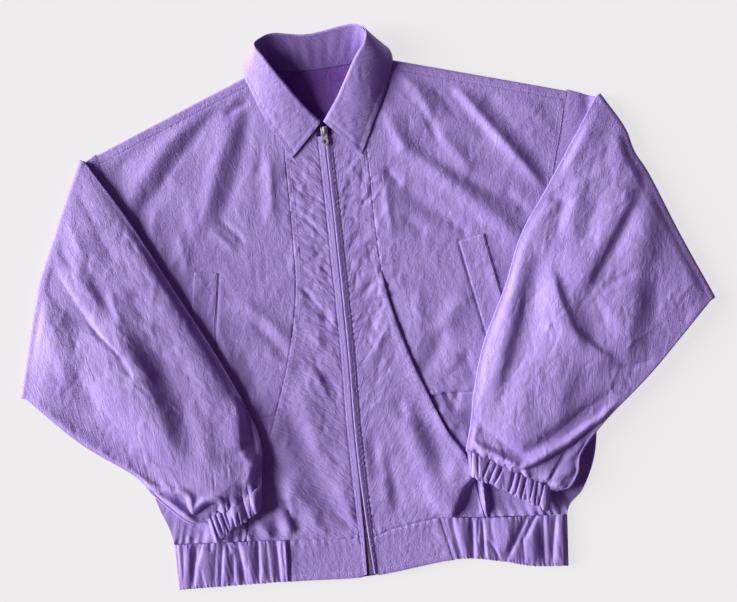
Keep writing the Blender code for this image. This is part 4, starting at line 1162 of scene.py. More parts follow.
GROOVE_DEPTH = 0.50      # of the stitched groove along the leaf's edges, its distance and half width
GROOVE_FROM_EDGE = 5.4
GROOVE_HALF = 1.2
# Painted shade: the stand's nylon is a darker violet, for the shade that falls inside the neck
STAND_SHADE_VIOLET = (0.275, 0.180, 0.495, 1.0)
STAND_SHADE_PALE = (0.315, 0.215, 0.545, 1.0)
STAND_SHADE_DEEP = (0.230, 0.145, 0.430, 1.0)
ROLL_RADIUS = 1.6
ROLL_GAP = 1.8           # the stand's top keeps this far from the leaf,
MOST_SHORT = 2.6         # and ends at most this far short of the roll line
stations = sample(smooth(COLLAR, 400), edge_shares(540, 3.2))
neck_line = stations[:, 0:3]
roll_line = stations[:, 3:6]
leaf_edge = stations[:, 6:9]
leaf_sag = stations[:, 9]
stand_way = unit(roll_line - neck_line)
leaf_way = unit(leaf_edge - roll_line)
corner = np.arccos(np.clip(-(stand_way * leaf_way).sum(axis=1), -1, 1))
short = np.minimum((ROLL_GAP + HALF_WALL * np.cos(corner)) / np.sin(corner), MOST_SHORT)
stand_top = roll_line - stand_way * short[:, None]
stand_rows = []
for share in edge_shares(38, 3.0):
    row = neck_line + share * (stand_top - neck_line)
    number = np.arange(len(row))
    ripple = 0.5 * np.sin(number * 0.37 + 4 * share) + 0.4 * np.sin(number * 0.91)
    row[:, 2] += STAND_RIPPLE * ripple * math.sin(math.pi * share)
    stand_rows.append(row)
STAND_SHADED_NYLON = nylon("stand_nylon_painted_shade", STAND_SHADE_DEEP, STAND_SHADE_VIOLET, STAND_SHADE_PALE)
stand = cloth("cloth_collar_stand", [np.array(stand_rows)], STAND_SHADED_NYLON, COLLAR_WALL)
leaf_rows = []
for share in np.concatenate([[0, 0.015, 0.03], edge_shares(50, 2.2)[1:] * 0.955 + 0.045]):
    row = roll_line + share * (leaf_edge - roll_line)
    row[:, 2] -= leaf_sag * math.sin(math.pi * share)
    row[:, 2] -= ROLL_RADIUS * np.clip(1 - share / 0.06, 0, 1) ** 2
    leaf_rows.append(row)
leaf_grid = np.array(leaf_rows)
leaf_plan = leaf_grid[..., :2]
leaf_crinkle = crinkle_rows(81, (-95, 230, 95, 392), 11, 80, 60, 30, 1.0)
leaf_grid[..., 2] += LEAF_CRINKLE * crinkle_height(leaf_crinkle, leaf_plan[..., 0], leaf_plan[..., 1])
leaf_grid[..., 2] += LEAF_PUCKER * sewn(leaf_plan, [(edge, 0.0, 0.25, 7, 5, 0.2) for edge in LEAF_EDGES], 82)
for edge in LEAF_EDGES:
    from_groove = edge_ways(leaf_plan)[edge][0] - GROOVE_FROM_EDGE
    leaf_grid[..., 2] -= GROOVE_DEPTH * np.exp(-((from_groove / GROOVE_HALF) ** 2))
leaf = cloth("cloth_collar_fall", [leaf_grid], wall=COLLAR_WALL)


# Sleeves: full one-piece tubes set into dropped armholes. Each is laid out flat from the armhole,
# folded over at its outer line, and brought back across the front, so its rear side is on top.
FOLD_AXIS = 7.40
INNER_RADIUS = 3.85
OUTER_RADIUS = 6.75
FOLD_PRESSED = 0.5
PRESSED_REACH = 34.0
SLEEVE_RUN = 300
LEAST_THICK = 1.5
HIGHEST_SLEEVE_FOLD = 9
ARMHOLE_DIP = 0.45
FOLD_POINTS = 120
EDGE_POINTS = 400
TOP_COLUMNS = 124
UNDER_COLUMNS = 34
AT_CROWN = 10            # columns of a ring near the crown, towards the middle and near the underarm
AT_MIDDLE = 60
AT_UNDERARM = 128
LAID_ROWS = 22
FOLD_ROWS = 15
OVER_ROWS = 150
SLEEVE_RAGGED = (78, 7.5)      # seed and pitch of the fine and the broad gathers at the end
SLEEVE_SCALLOP = (84, 19.0)
END_MOVE = (2.6, 6.0)          # how far both kinds move the end towards the cuff, and how high they stand
END_FRILL = (3.4, 4.0)
END_FROM = 0.93
SLEEVE_FOLD = {
    "right": [(-296, 263), (-348, 149), (-365, 103), (-396, -11)],
    "left": [(337, 276), (361, 234), (370, 203), (385, 173), (414, 98), (447, 20)],
}
SLEEVE_UNDERARM = {
    "right": [(-328, -71), (-268, -118), (-249, -143), (-222, -172), (-205, -184), (-190, -184)],
    "left": [(363, -56), (298, -113), (266, -148), (259, -172), (246, -189), (230, -191)],
}
SLEEVE_FULLNESS = {"right": 0.8, "left": 1.15}
SLEEVE_PUFF = [(0, 0), (0.12, 3), (0.35, 8), (0.7, 10), (0.92, 8), (1, 3)]      # columns share and height
SLEEVE_CREASES = {
    "right": [
        (-258, 200, -140, -62, 0, 15, 3.2, -0.3),
        (-284, 92, -208, -128, 0, 28, 8.4, -0.5),
        (-242, 66, -182, -98, 0, 16, -4.3, 0.0),
        (-358, 160, -292, 46, -2, 13, -5.8, -0.45),
        (-362, 164, -312, 82, 0, 2.4, -2.0, -0.3),
        (-326, 104, -284, 40, 0, 2.4, -2.6, -0.3),
        (-304, 68, -262, 16, 0, 2.4, -2.8, -0.3),
        (-378, 120, -320, -16, -4, 22, 5.4, 0.0),
        (-273, 28, -254, -6, 0, 5, -3.2, 0.0),
        (-264, 26, -232, -8, 0, 6, 3.2, 0.0),
        (-360, -12, -186, -146, 0, 25, -3.4, 0.0),
        (-390, -12, -252, -134, 0, 7, 2.0, 0.0),
        (-304, 230, -280, 176, 0, 5, -1.6, 0.3),
        (-322, 206, -298, 144, 0, 6, 1.8, 0.0),
        (-342, 184, -312, 126, 0, 6, -1.8, 0.3),
        (-318, 144, -286, 80, 0, 8, 2.3, 0.0),
        (-300, 130, -264, 56, 0, 8, -2.0, 0.3),
        (-286, 184, -260, 126, 0, 8, -1.8, 0.0),
        (-274, 108, -262, 54, 0, 6, 2.2, 0.0),
        (-254, 102, -230, 52, 0, 8, -1.9, 0.2),
        (-240, 74, -216, 20, 0, 7, 2.0, 0.0),
        (-366, 70, -340, -12, 0, 10, -1.6, 0.0),
        (-332, 28, -298, -50, 0, 10, -2.0, 0.0),
        (-204, 24, -172, -70, 0, 10, -1.6, 0.0),
        (-196, -30, -170, -128, 0, 12, 2.2, 0.0),
        (-134, -34, -141, -114, 0, 12, 5.4, -0.5),
        (-140, -102, -121, -127, 0, 6, 3.2, 0.0),
        (-125, -54, -122, -116, 0, 6, -2.5, 0.0),
        (-127, -122, -139, -148, 0, 6, 2.7, 0.0),
        (-256, -136, -196, -188, 3, 4, 4.0, 0.0),
        (-238, -146, -202, -180, 0, 4, 2.7, 0.0),
    ],
    "left": [
        (268, 178, 152, -110, 0, 18, 1.4, -0.3),
        (222, 104, 158, -78, 4, 13, 2.8, 0.2),
        (252, 122, 166, -108, 3, 17, -4.8, 0.3),
        (250, 88, 284, -36, -6, 16, 5.2, -0.6),
        (284, 40, 300, -26, 0, 12, -2.4, 0.0),
        (270, 2, 320, -46, -4, 11, 3.4, -0.6),
        (376, 178, 268, 20, 0, 16, 3.8, -0.55),
        (384, 168, 284, 24, 0, 10, -2.0, 0.0),
        (352, 236, 376, 156, 0, 13, 5.4, -0.72),
        (372, 204, 383, 156, 0, 6, -4.3, 0.0),
        (398, 164, 340, 46, 0, 20, 5.0, 0.0),
        (404, 142, 436, 12, 0, 16, 3.2, -0.3),
        (356, 76, 326, -58, 0, 22, 4.5, -0.3),
        (358, 61, 308, 45, 0, 6, -2.4, 0.0),
        (314, -46, 368, -46, -5, 4, -2.4, 0.0),
        (258, 163, 288, 146, 0, 5, -1.9, 0.0),
        (282, 160, 258, 100, 0, 8, -2.2, 0.0),
        (326, 248, 280, 182, 0, 10, 2.0, 0.0),
        (352, 248, 326, 182, 0, 9, -1.6, 0.0),
        (306, 190, 272, 100, 0, 11, 2.2, 0.0),
        (324, 160, 292, 92, 0, 10, -2.0, 0.0),
        (234, -12, 212, -118, 0, 14, -1.0, 0.0),
        (208, -22, 192, -124, 0, 14, 1.4, 0.0),
        (262, -42, 236, -118, 0, 14, 1.2, 0.0),
        (286, -36, 258, -100, 0, 12, -1.0, 0.0),
        (300, 34, 320, -24, 0, 8, -2.0, 0.0),
        (382, 66, 364, -16, 0, 11, -1.7, 0.0),
        (150, -102, 133, -130, 0, 7, 1.4, 0.0),
        (208, -172, 262, -165, -6, 6, 3.1, 0.0),
        (252, -140, 216, -188, 0, 2.6, -2.6, 0.4),
        (222, -186, 246, -196, 6, 5, 2.7, 0.0),
        (262, -150, 262, -186, 0, 6, -2.0, 0.0),
        (276, -136, 244, -158, 0, 5, 1.8, 0.0),
        (126, -130, 166, -143, 0, 4, 1.6, 0.0),
        (156, -145, 194, -159, 0, 4, 1.8, 0.0),
        (191, -155, 201, -174, 0, 4, 2.9, 0.0),
    ],
}
SLEEVE_LEDGE = {
    "right": [(-300, -97), (-252, -136), (-229, -144), (-210, -150), (-207, -164), (-202, -171), (-187, -161),
              (-174, -160), (-166, -166)],
    "left": [(330, -88), (298, -112), (280, -121), (254, -137), (224, -150), (199, -159), (180, -155),
             (158, -141), (144, -132), (134, -126)],
}
LEDGE_DROP = {"right": 6.0, "left": 7.0}
LEDGE_RIM = {"right": 3.0, "left": 3.4}
LEDGE_SHADE = {"right": 0.0, "left": 5.0}
STUB_CREASES = {
    "right": [
        (-282, 262, -278, 232, 0, 4, 1.2, 0.0),
        (-290, 250, -280, 226, 0, 4, -1.0, 0.0),
    ],
    "left": [
        (337, 286, 327, 244, 0, 6, 3.6, 0.0),
        (325, 286, 316, 240, 0, 6, -2.4, 0.0),
        (284, 268, 318, 262, 0, 4, 1.2, 0.0),
        (282, 254, 314, 246, 0, 3, -1.0, 0.0),
        (280, 246, 306, 236, 0, 3, 1.2, 0.0),
        (276, 234, 302, 224, 0, 3, -1.0, 0.0),
        (274, 226, 296, 214, 0, 3, 1.1, 0.0),
        (270, 212, 290, 202, 0, 3, -0.9, 0.0),
    ],
}
SLEEVE_CRINKLE = {
    "right": crinkle_rows(91, (-400, -190, -110, 270), 11.5, 118, 32, 56, 0.6),
    "left": crinkle_rows(92, (125, -200, 450, 285), 11.5, 62, 32, 56, 0.6),
}
sleeves = {}


def fold_line(side, share):
    """Points of the line that a sleeve is folded about, and the direction out of the jacket."""
    outline = smooth(SLEEVE_FOLD[side], FOLD_POINTS)
    slope = np.gradient(outline, axis=0)
    out = unit(np.column_stack([slope[:, 1], -slope[:, 0]]))
    out *= -1 if (out[FOLD_POINTS // 2, 0] > 0) == (side == "right") else 1
    axis = outline - out * (OUTER_RADIUS + HALF_WALL)
    position = np.linspace(0, 1, FOLD_POINTS)
    return read_off(share, position, axis), read_off(share, position, out)


def tube_ring(top_count, under_count):
    """Columns round a flattened tube: share across, overhang past the edge, and wall from 0 to 1."""
    bend = np.radians(np.linspace(-90, 90, 9))
    climb = bend[:-1]
    fall = bend[1:]
    over = np.linspace(0, 1, top_count)
    under = np.linspace(1, 0, under_count)[1:-1]
    level = np.zeros(len(under))
    share = np.concatenate([np.zeros(len(climb)), over, np.ones(len(fall)), under])
    overhang = np.concatenate([-np.cos(climb), np.zeros(top_count), np.cos(fall), level])
    wall = np.concatenate([0.5 + 0.5 * np.sin(climb), np.ones(top_count), 0.5 - 0.5 * np.sin(fall), level])
    return share, overhang, wall


def beside_line(line, x, y):
    """How far points lie to the left of a line's way, and the length of the line up to them."""
    way = unit(np.gradient(line, axis=0))
    offset = np.column_stack([x, y])[:, None] - line[None]
    nearest = np.argmin(np.linalg.norm(offset, axis=2), axis=1)
    near = offset[np.arange(len(x)), nearest]
    return way[nearest, 0] * near[:, 1] - way[nearest, 1] * near[:, 0], run(line)[nearest]


def ledge_height(side, x, y):
    """The rolled lower edge of a sleeve's upper layer, and the step down to the layer below it."""
    line = smooth(SLEEVE_LEDGE[side], 120)
    aside, along = beside_line(line, x, y)
    outside = -aside if side == "right" else aside
    present = ease(along / 50) * ease((along.max() + 1 - along) / 10)
    rim = LEDGE_RIM[side] * np.exp(-(((outside + 4) / 4) ** 2))
    shade = LEDGE_SHADE[side] * np.exp(-(((outside + 17) / 8) ** 2))
    return present * (rim - shade - LEDGE_DROP[side] * ease((outside + 0.5) / 4))


def ring_points(plan, along, out, turn, outer, inner, overhang, wall):
    """One ring of a flattened tube, turned about the fold's axis."""
    bulge = (OUTER_RADIUS - INNER_RADIUS) / 2
    spot = plan + along * (overhang * bulge)[:, None]
    radius = inner + (outer - inner) * wall
    spot = spot + out * (radius * math.sin(turn))[:, None]
    pressed = FOLD_PRESSED if 0 > math.cos(turn) > -1 else 1.0
    return np.column_stack([spot, FOLD_AXIS - radius * math.cos(turn) * pressed])


for side in ("right", "left"):
    share, overhang, wall = tube_ring(TOP_COLUMNS, UNDER_COLUMNS)
    neck, tip, across = shoulder_line(side)
    seam_y = (tip + across * FORWARD_SEAM)[1]
    steps = np.concatenate([[tip[1]], np.linspace(seam_y, ARMHOLE[side][-1][1], 11)])
    heights = np.interp(share, np.linspace(0, 1, len(steps)), steps)
    armhole = body_points(side, heights)
    armhole[:, 0] += -HALF_SEAM if side == "right" else HALF_SEAM
    axis, out = fold_line(side, share)
    flat_outer = np.full(len(share), OUTER_RADIUS)
    flat_inner = np.full(len(share), INNER_RADIUS)
    rings = []
    for step in np.linspace(0, 1, LAID_ROWS):
        line = armhole + step * (axis - armhole)
        along = unit(line[AT_MIDDLE] - line[AT_CROWN])
        lift = crinkle_height(SLEEVE_CRINKLE[side], line[:, 0], line[:, 1]) * math.sin(math.pi * step)
        lift = lift + crease_height(STUB_CREASES[side], line[:, 0], line[:, 1]) * ease(step / 0.1)
        lift = lift - ARMHOLE_DIP * math.exp(-step / 0.05)
        inner = flat_inner - lift * (wall < 0.5)
        rings.append(ring_points(line, along, out, 0.0, flat_outer, inner, overhang, wall))
    for turn in np.linspace(0, math.pi, FOLD_ROWS)[1:-1]:
        along = unit(axis[AT_MIDDLE] - axis[AT_CROWN])
        rings.append(ring_points(axis, along, out, turn, flat_outer, flat_inner, overhang, wall))
    crown = smooth([tuple(axis[AT_CROWN])] + SLEEVE_CROWN[side], EDGE_POINTS)
    underarm = smooth([tuple(axis[AT_UNDERARM])] + SLEEVE_UNDERARM[side], EDGE_POINTS)
    bow = axis - (axis[AT_CROWN] + share[:, None] * (axis[AT_UNDERARM] - axis[AT_CROWN]))
    cuff_way = np.array([crown[-1, 1] - underarm[-1, 1], underarm[-1, 0] - crown[-1, 0]])
    cuff_way = -np.sign(cuff_way[1]) * unit(cuff_way)
    for step in np.linspace(0, 1, OVER_ROWS):
        row = int(round(step * (EDGE_POINTS - 1)))
        way = underarm[row] - crown[row]
        width = np.linalg.norm(way)
        line = crown[row] + share[:, None] * way + bow * (1 - step) ** 3
        ragged = pucker_row(line[:, 0], *SLEEVE_RAGGED) - 0.5
        scallop = pucker_row(line[:, 0], *SLEEVE_SCALLOP) - 0.5
        move = END_MOVE[0] * ragged + END_MOVE[1] * scallop
        line = line + (cuff_way * ease((step - END_FROM) / 0.07)) * move[:, None]
        x = line[:, 0]
        y = line[:, 1]
        held = np.sin(math.pi * share)
        puff = look_up(SLEEVE_PUFF, step) * held ** SLEEVE_FULLNESS[side]
        room = ease(np.minimum(share / 8, (1 - share) / 4) * width)
        shape = crease_height(SLEEVE_CREASES[side], x, y)
        capped = HIGHEST_SLEEVE_FOLD * np.tanh(shape / HIGHEST_SLEEVE_FOLD)
        shape = np.where(shape > 0, capped, shape) * room * ease(step / 0.03)
        fine = crinkle_height(SLEEVE_CRINKLE[side], x, y) * room * ease(step / 0.03)
        frill = (END_FRILL[0] * ragged + END_FRILL[1] * scallop) * math.exp(-(1 - step) / 0.020) * room
        lowest = INNER_RADIUS + LEAST_THICK + 0.2 * puff
        from_edge = np.minimum((1 - share) * width, 34)
        thin = (OUTER_RADIUS - INNER_RADIUS - LEAST_THICK) * (1 - ease(share * width / 12))
        floor = lowest + np.minimum(0.3, 2 * share) + 0.05 * from_edge * ease(share / 0.2)
        layer = np.maximum(OUTER_RADIUS - thin + puff + ledge_height(side, x, y) * room, floor)
        outer = np.maximum(layer + shape + fine + frill, lowest)
        inner = np.minimum(INNER_RADIUS + 0.6 * puff, outer - LEAST_THICK)
        from_fold = min(step * SLEEVE_RUN / PRESSED_REACH, 1)
        pressed = FOLD_PRESSED + (1 - FOLD_PRESSED) * math.sin(0.5 * math.pi * from_fold)
        outer = outer * pressed
        inner = inner * pressed
        rings.append(ring_points(line, way / width, out, math.pi, outer, inner, overhang, wall))
    sleeves[side] = cloth("cloth_sleeve_" + side, [np.array(rings)], round_tube=True)


# Cuffs: narrow bands gathered tight on elastic at the sleeve ends, each pleat standing up a little.
# Each is a flattened ring whose upper edge goes up against the end of its sleeve.
CUFF_PUFF = 3.8
CUFF_LOWEST = -1.4
CUFF_TUCK = 1.6
CUFF_RAGGED = (78, 5.5)      # seed and pitch of the fine and the broad gathers, and of those below
CUFF_SCALLOP = (85, 17.0)
CUFF_UNDER = (79, 6.0)
CUFF_GATHERS = {
    "right": [
        (-189, -180, -184, -208, 0, 1.2, -1.8),
        (-184, -170, -175, -206, 0, 1.3, -3.6),
        (-179, -166, -169, -202, 0, 1.1, -3.4),
        (-173, -160, -163, -198, 0, 1.2, -3.2),
        (-169, -156, -160, -194, 0, 1.4, -3.8),
        (-157, -178, -154, -198, 0, 1.2, -2.4),
        (-150, -174, -148, -194, 0, 1.2, -2.4),
        (-145, -150, -138, -190, 0, 2.2, -4.6),
        (-133, -166, -130, -186, 0, 1.2, -1.8),
        (-124, -146, -121, -182, 0, 1.4, -1.6),
        (-159, -148, -152, -196, 0, 7.0, 3.2),
        (-134, -140, -127, -184, 0, 6.0, 2.8),
        (-193, -182, -187, -212, 0, 5.0, 1.6),
    ],
    "left": [
        (137, -128, 133, -166, 0, 1.2, -2.1),
        (144, -132, 140, -170, 0, 1.2, -1.5),
        (162, -138, 144, -170, 0, 1.1, -3.4),
        (168, -144, 150, -176, 0, 1.0, -3.0),
        (178, -146, 157, -178, 0, 1.2, -4.0),
        (190, -150, 174, -192, 0, 1.5, -4.4),
        (195, -158, 180, -196, 0, 1.0, -3.4),
        (202, -162, 187, -200, 0, 1.0, -4.0),
        (209, -168, 198, -202, 0, 0.9, -2.5),
        (213, -172, 204, -206, 0, 0.9, -1.9),
        (220, -176, 207, -212, 0, 0.9, -3.0),
        (231, -182, 218, -218, 0, 1.1, -4.4),
    ],
}
CUFF_LEAN = -0.4
CUFF_SHORTER = 0.04
for side in ("right", "left"):
    share = np.linspace(0, 1, 170)
    ring_share = np.concatenate([share, share[::-1]])
    ring_top = np.concatenate([np.ones(len(share)), np.zeros(len(share))])
    seam_ends = [np.array(SLEEVE_CROWN[side][-1], float), np.array(SLEEVE_UNDERARM[side][-1], float)]
    edge_ends = [np.array(point, float) for point in CUFF_EDGE[side]]
    seam_ends[1] = seam_ends[1] + (seam_ends[0] - seam_ends[1]) * CUFF_SHORTER
    down = unit((edge_ends[0] + edge_ends[1] - seam_ends[0] - seam_ends[1]) / 2)
    rings = []
    for step in np.concatenate([[0, 0.02, 0.05], np.linspace(0.1, 0.9, 18), [0.94, 0.97, 1.0]]):
        ends = [seam + (edge - seam) * step for seam, edge in zip(seam_ends, edge_ends)]
        plan = ends[0] + ring_share[:, None] * (ends[1] - ends[0]) - down * CUFF_TUCK * (1 - step) ** 4
        ragged = pucker_row(plan[:, 0], *CUFF_RAGGED)
        scallop = pucker_row(plan[:, 0], *CUFF_SCALLOP)
        plan = plan + down * ((2.6 * ragged + 4.4 * scallop - 3.2) * step ** 2)[:, None]
        pinch = 0.10 + 0.90 * math.sin(math.pi * (0.03 + 0.87 * step)) ** 0.6
        pinch = pinch * (0.72 + 0.55 * scallop)
        folds = crease_height(pinched(CUFF_GATHERS[side], CUFF_LEAN), plan[:, 0], plan[:, 1])
        small = 1.4 * (ragged - 0.5) * (math.exp(-(1 - step) / 0.15) + 0.6 * math.exp(-step / 0.15))
        ends_fade = ease(ring_share / 0.06) * ease((1 - ring_share) / 0.06)
        gathers = np.maximum(CUFF_PUFF * pinch + folds * (0.4 + 0.6 * pinch) + small, CUFF_LOWEST)
        top = OUTER_RADIUS + ends_fade * gathers
        under = INNER_RADIUS - 0.4 * ends_fade * pinch * pucker_row(plan[:, 0], *CUFF_UNDER)
        radius = np.where(ring_top > 0, top, under)
        rings.append(np.column_stack([plan, FOLD_AXIS + radius]))
    cloth("cloth_cuff_" + side, [np.array(rings)], GATHERED_SHADED_NYLON, BAND_WALL, True)


# Slider and pull: cast zinc, silvered. The slider closes the top of the zip, and its pull hangs in
# the bail: a round bar, two rails and a ring.
SLIDER_Y = (262.0, 273.0)
SLIDER_WIDTH = 8.4
SLIDER_WAIST = 0.74
SLIDER_ROUND = 0.35
SLIDER_Z = (3.0, 7.4)
BAIL_WIDTH = 2.2
BAIL_Y = (264.4, 272.6)
BAIL_BAR = 1.2
BAIL_ROOM = 0.4
PULL_AXIS_Y = 270.4
PULL_AXIS_Z = 8.7
PULL_THICK = 1.6
PULL_WIDTH = 6.7
PULL_LENGTH = 20.4
PULL_WINDOW = (3.6, 9.4)
PULL_RING = (9.0, 4.6)
PULL_BAR_RADIUS = 0.85
PULL_ROUND = 0.3
STOP_HALF = 1.6
STOP_RUN = 8.6
STOP_THICK = 2.0
STOP_DROP = 0.9


def settled(name):
    """The new object, named, its placing put into its mesh."""
    made = bpy.context.object
    made.name = name
    bpy.ops.object.transform_apply(location=True, rotation=True, scale=True)
    return made


def block(name, low, high):
    """A box between two plan corners."""
    middle = [((a + b) / 2 - c) * MM for a, b, c in zip(low, high, PLAN_MIDDLE)]
    bpy.ops.mesh.primitive_cube_add(size=1, location=middle)
    bpy.context.object.scale = [(b - a) * MM for a, b in zip(low, high)]
    return settled(name)


def rod(name, centre, radius, length, lying=False):
    """A cylinder, upright or lying across the zip."""
    middle = [(a - b) * MM for a, b in zip(centre, PLAN_MIDDLE)]
    bpy.ops.mesh.primitive_cylinder_add(vertices=40, radius=radius * MM, depth=length * MM, location=middle,
                                        rotation=(0, math.pi / 2 if lying else 0, 0))
    return settled(name)


def combine(target, tool, how):
    """Joins a tool to the target, or cuts it out, and removes the tool."""
    step = target.modifiers.new(how.lower(), "BOOLEAN")
    step.operation = how
    step.object = tool
    bpy.context.view_layer.objects.active = target
    bpy.ops.object.modifier_apply(modifier=step.name)
    bpy.data.objects.remove(tool, do_unlink=True)


def finish_metal(piece, radius, body, node_name):
    """Rounds a metal piece's edges, gives it its finish and ties it to its solid."""
    pick(piece)
    round_off = piece.modifiers.new("round_off", "BEVEL")
    round_off.width = radius * MM
    round_off.segments = 3
    round_off.limit_method = "ANGLE"
    round_off.angle_limit = math.radians(40)
    bpy.ops.object.modifier_apply(modifier="round_off")
    bpy.ops.object.shade_smooth_by_angle(angle=math.radians(35))
    piece.data.materials.clear()
    piece.data.materials.append(SILVER)
    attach(piece, body)
    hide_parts(node_name)


line = float(zip_x(SLIDER_Y[1]))
slider = block("slider_body", (line - SLIDER_WIDTH / 2, SLIDER_Y[0], SLIDER_Z[0]),
               (line + SLIDER_WIDTH / 2, SLIDER_Y[1], SLIDER_Z[1]))
bpy.ops.object.mode_set(mode="EDIT")
bpy.ops.mesh.select_all(action="SELECT")
bpy.ops.mesh.subdivide(number_cuts=3)
bpy.ops.object.mode_set(mode="OBJECT")
slider_mid = (line - PLAN_MIDDLE[0]) * MM
slider_low = (SLIDER_Y[0] - PLAN_MIDDLE[1]) * MM
for vertex in slider.data.vertices:
    up = (vertex.co.y - slider_low) / ((SLIDER_Y[1] - SLIDER_Y[0]) * MM)
    waisted = SLIDER_WAIST + (1 - SLIDER_WAIST) * math.sin(math.pi * min(0.15 + 0.6 * up, 1))
    vertex.co.x = slider_mid + (vertex.co.x - slider_mid) * waisted
bail_foot = PULL_AXIS_Z + PULL_THICK / 2 + BAIL_ROOM
bail = block("bail", (line - BAIL_WIDTH / 2, BAIL_Y[0], SLIDER_Z[1] - 1),
             (line + BAIL_WIDTH / 2, BAIL_Y[1], bail_foot + BAIL_BAR))
hole = block("bail_hole", (line - BAIL_WIDTH, BAIL_Y[0] + BAIL_BAR, SLIDER_Z[1] - 2),
             (line + BAIL_WIDTH, BAIL_Y[1] - BAIL_BAR, bail_foot))
combine(bail, hole, "DIFFERENCE")
combine(slider, bail, "UNION")
finish_metal(slider, SLIDER_ROUND, "jacket", "zip_slider")

low = PULL_AXIS_Z - PULL_THICK / 2
high = PULL_AXIS_Z + PULL_THICK / 2
ring_y = PULL_AXIS_Y - PULL_LENGTH + PULL_RING[0] / 2
pull = block("pull_tab", (line - PULL_WIDTH / 2, ring_y, low), (line + PULL_WIDTH / 2, PULL_AXIS_Y, high))
ring = rod("ring", (line, ring_y, PULL_AXIS_Z), PULL_RING[0] / 2, PULL_THICK)
combine(pull, ring, "UNION")
window = block("window", (line - PULL_WINDOW[0] / 2, PULL_AXIS_Y - PULL_WINDOW[1], low - 1),
               (line + PULL_WINDOW[0] / 2, PULL_AXIS_Y + 1, high + 1))
combine(pull, window, "DIFFERENCE")
hole = rod("ring_hole", (line, ring_y, PULL_AXIS_Z), PULL_RING[1] / 2, PULL_THICK + 2)
combine(pull, hole, "DIFFERENCE")
bar = rod("bar", (line, PULL_AXIS_Y, PULL_AXIS_Z), PULL_BAR_RADIUS, PULL_WIDTH, lying=True)
combine(pull, bar, "UNION")
finish_metal(pull, PULL_ROUND, "pull", "zip_pull")

stop_top = float(front_level(np.array(0.0), np.array(float(ZIP_BOTTOM_Y)))) - STOP_DROP
stop = block("stop_box", (-STOP_HALF, ZIP_BOTTOM_Y, stop_top - STOP_THICK),
             (STOP_HALF, ZIP_BOTTOM_Y + STOP_RUN, stop_top))
finish_metal(stop, PULL_ROUND, "jacket", "zip_stop")


# Topstitching: polyester thread a shade paler than the nylon, in short straight stitches beside the
# seams and round the collar, welts, tabs and strips.
STITCH_PITCH = 3.1
STITCH_LENGTH = 2.3
STITCH_HALF = 0.40
STITCH_SINK = 0.02
STITCH_SKEW = 0.06
# Distance of each row of stitches from its seam or edge
CENTRE_ROW = 5.5
ARMHOLE_ROWS = [(1.8, 102), (7.2, 103)]      # columns distance and seed
SHOULDER_ROW = 2.2
CROSS_ROW = 2.4
STRIP_ROW = 2.0
WAIST_ROW = 2.4
HEM_ROW = 6.5
WELT_ROW = 2.2
WELT_TOP_ROW = 2.4
LEAF_ROW = 5.0
ELBOW_ROW = 1.8
THREAD_PALE = (0.620, 0.510, 0.850, 1.0)
THREAD_DEEP = (0.430, 0.320, 0.680, 1.0)
ELBOW_SEAM = [(-351, 146), (-320, 95), (-300, 62), (-281, 37), (-269, 23)]
CUFF_SIDE_SEAM = [(247, -147), (236, -162), (222, -179)]
thread, thread_tree, thread_shader = principled("thread")
thread_place = node(thread_tree, "ShaderNodeTexCoord").outputs["Object"]
thread_noise = noise(thread_tree, thread_place, 900.0, 2.0)
thread_tint = ramp(thread_tree, thread_noise, [(0.35, THREAD_DEEP), (0.65, THREAD_PALE)])
fill_in(thread_tree, thread_shader, {"Base Color": thread_tint, "Roughness": 0.55})

stitch_rings = [(-0.36, 0.75), (0.0, 1.0), (0.36, 0.75)]
stitch_points = [(-0.5 * STITCH_LENGTH, 0, 0)]
for along, size in stitch_rings:
    half = STITCH_HALF * size
    stitch_points += [(along * STITCH_LENGTH, -half, 0), (along * STITCH_LENGTH, 0, half),
                      (along * STITCH_LENGTH, half, 0), (along * STITCH_LENGTH, 0, -half)]
stitch_points.append((0.5 * STITCH_LENGTH, 0, 0))
stitch_faces = [(0, 1 + (i + 1) % 4, 1 + i) for i in range(4)]
for ring in (1, 5):
    stitch_faces += [(ring + i, ring + (i + 1) % 4, ring + 4 + (i + 1) % 4, ring + 4 + i) for i in range(4)]
stitch_faces += [(13, 9 + i, 9 + (i + 1) % 4) for i in range(4)]
stitch_places = []


def beside(curve, distance):
    """A curve moved sideways, to the left of its way for a positive distance."""
    slope = unit(np.gradient(curve, axis=0))
    return curve + distance * np.column_stack([-slope[:, 1], slope[:, 0]])


def stitch(piece, curve, seed):
    """Adds the places of the stitches along a plan curve, laid on the top of a piece."""
    draw = np.random.default_rng(seed)
    tree = BVHTree.FromObject(piece, bpy.context.evaluated_depsgraph_get())
    count = int(run(curve)[-1] / STITCH_PITCH)
    spots = sample(curve, (np.arange(count) + 0.5) / count)
    slope = np.gradient(spots, axis=0)
    for spot, way in zip(spots, slope):
        start = Vector(((spot[0] - PLAN_MIDDLE[0]) * MM, (spot[1] - PLAN_MIDDLE[1]) * MM, 60 * MM))
        hit, normal, _, _ = tree.ray_cast(start, Vector((0, 0, -1)))
        if hit is None or abs(normal.z) < 0.2:
            continue
        up = normal if normal.z > 0 else -normal
        turn = draw.normal(0, STITCH_SKEW)
        along = Vector((way[0] - turn * way[1], way[1] + turn * way[0], 0))
        along = (along - up * along.dot(up)).normalized()
        side_way = up.cross(along)
        origin = np.array(hit) / MM + PLAN_MIDDLE - STITCH_SINK * np.array(up)
        stitch_places.append((np.array([along, side_way, up]), origin))


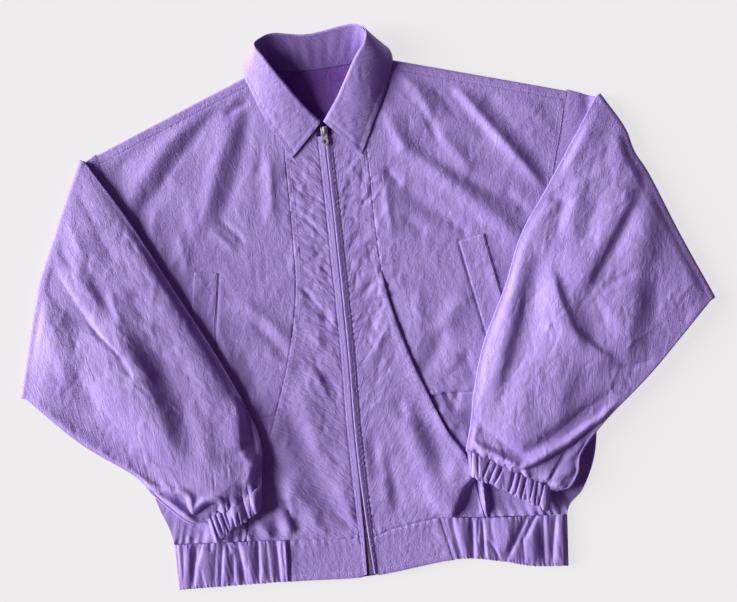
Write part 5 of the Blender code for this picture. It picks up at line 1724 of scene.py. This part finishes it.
for side, inward in (("right", 1), ("left", -1)):
    seam = centre_seam[side][4:-2]
    stitch(fronts["centre", side], beside(seam, inward * CENTRE_ROW), 101)
    armhole_line = BODY_EDGE[side][(BODY_EDGE[side][:, 1] > 15)][8:]
    for distance, seed in ARMHOLE_ROWS:
        stitch(fronts["side", side], beside(armhole_line, inward * distance), seed)
    neck, tip, across = shoulder_line(side)
    from_edge = across * (FORWARD_SEAM - SHOULDER_ROW)
    stitch(back, straight(neck + from_edge, tip + from_edge, 60)[2:-2], 104)
    cross_y = CROSS_SEAM_Y[side]
    cross_x = [float(look_up(centre_seam[side][:, ::-1], cross_y)), float(outer_x(side, cross_y))]
    cross_line = straight((cross_x[0] - inward * 3, cross_y - CROSS_ROW),
                          (cross_x[1] + inward * 4, cross_y - CROSS_ROW), 40)
    stitch(fronts["lower", side], cross_line, 105)
    heights = np.linspace(ZIP_BOTTOM_Y + 4, STRIP_TOP_Y - 3, 120)
    stitch(strips[side], np.column_stack([zip_x(heights) - inward * (STRIP_OUTER - STRIP_ROW), heights]), 106)
    tab_x = np.linspace(-inward * (STRIP_OUTER + 3), TAB_SEAM[side][0] + inward * 2, 50)
    stitch(tabs[side], np.column_stack([tab_x, waist_y(tab_x) - WAIST_ROW]), 107)
    stitch(tabs[side], np.column_stack([tab_x, hem_y(tab_x) + HEM_ROW]), 108)
    top, foot, width, along = welt_frame(side)
    out_of = np.array([-along[1], along[0]]) * (width / 2 - WELT_ROW)
    for start, end in ((top + out_of, foot + out_of), (top - out_of, foot - out_of)):
        stitch(welts[side], straight(start + along * 2, end - along * 2, 40), 109)
    welt_top = top + along * WELT_TOP_ROW
    stitch(welts[side], straight(welt_top - out_of, welt_top + out_of, 20), 110)
leaf_length = np.linalg.norm(leaf_edge - roll_line, axis=1, keepdims=True)
leaf_row = (leaf_edge + (roll_line - leaf_edge) * LEAF_ROW / leaf_length)[:, :2]
front_half = len(leaf_row) // 2
leaf_front = np.flatnonzero(leaf_edge[:, 2] > 6.9)
stitch(leaf, leaf_row[leaf_front[leaf_front < front_half]][5:], 111)
stitch(leaf, leaf_row[leaf_front[leaf_front > front_half]][:-5], 112)
for end_at, beside_at in ((0, LEAF_ROW), (-1, -LEAF_ROW)):
    edge = leaf_grid[6:-3, end_at, :2]
    stitch(leaf, beside(edge, beside_at), 113)
stitch(sleeves["right"], beside(smooth(ELBOW_SEAM, 60), ELBOW_ROW), 114)
stitch(sleeves["left"], smooth(CUFF_SIDE_SEAM, 30), 115)
stitching = joined_copies("topstitching", stitch_points, stitch_faces, stitch_places)
stitching.data.materials.append(thread)
pick(stitching)
bpy.ops.object.shade_smooth()
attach(stitching, "jacket")
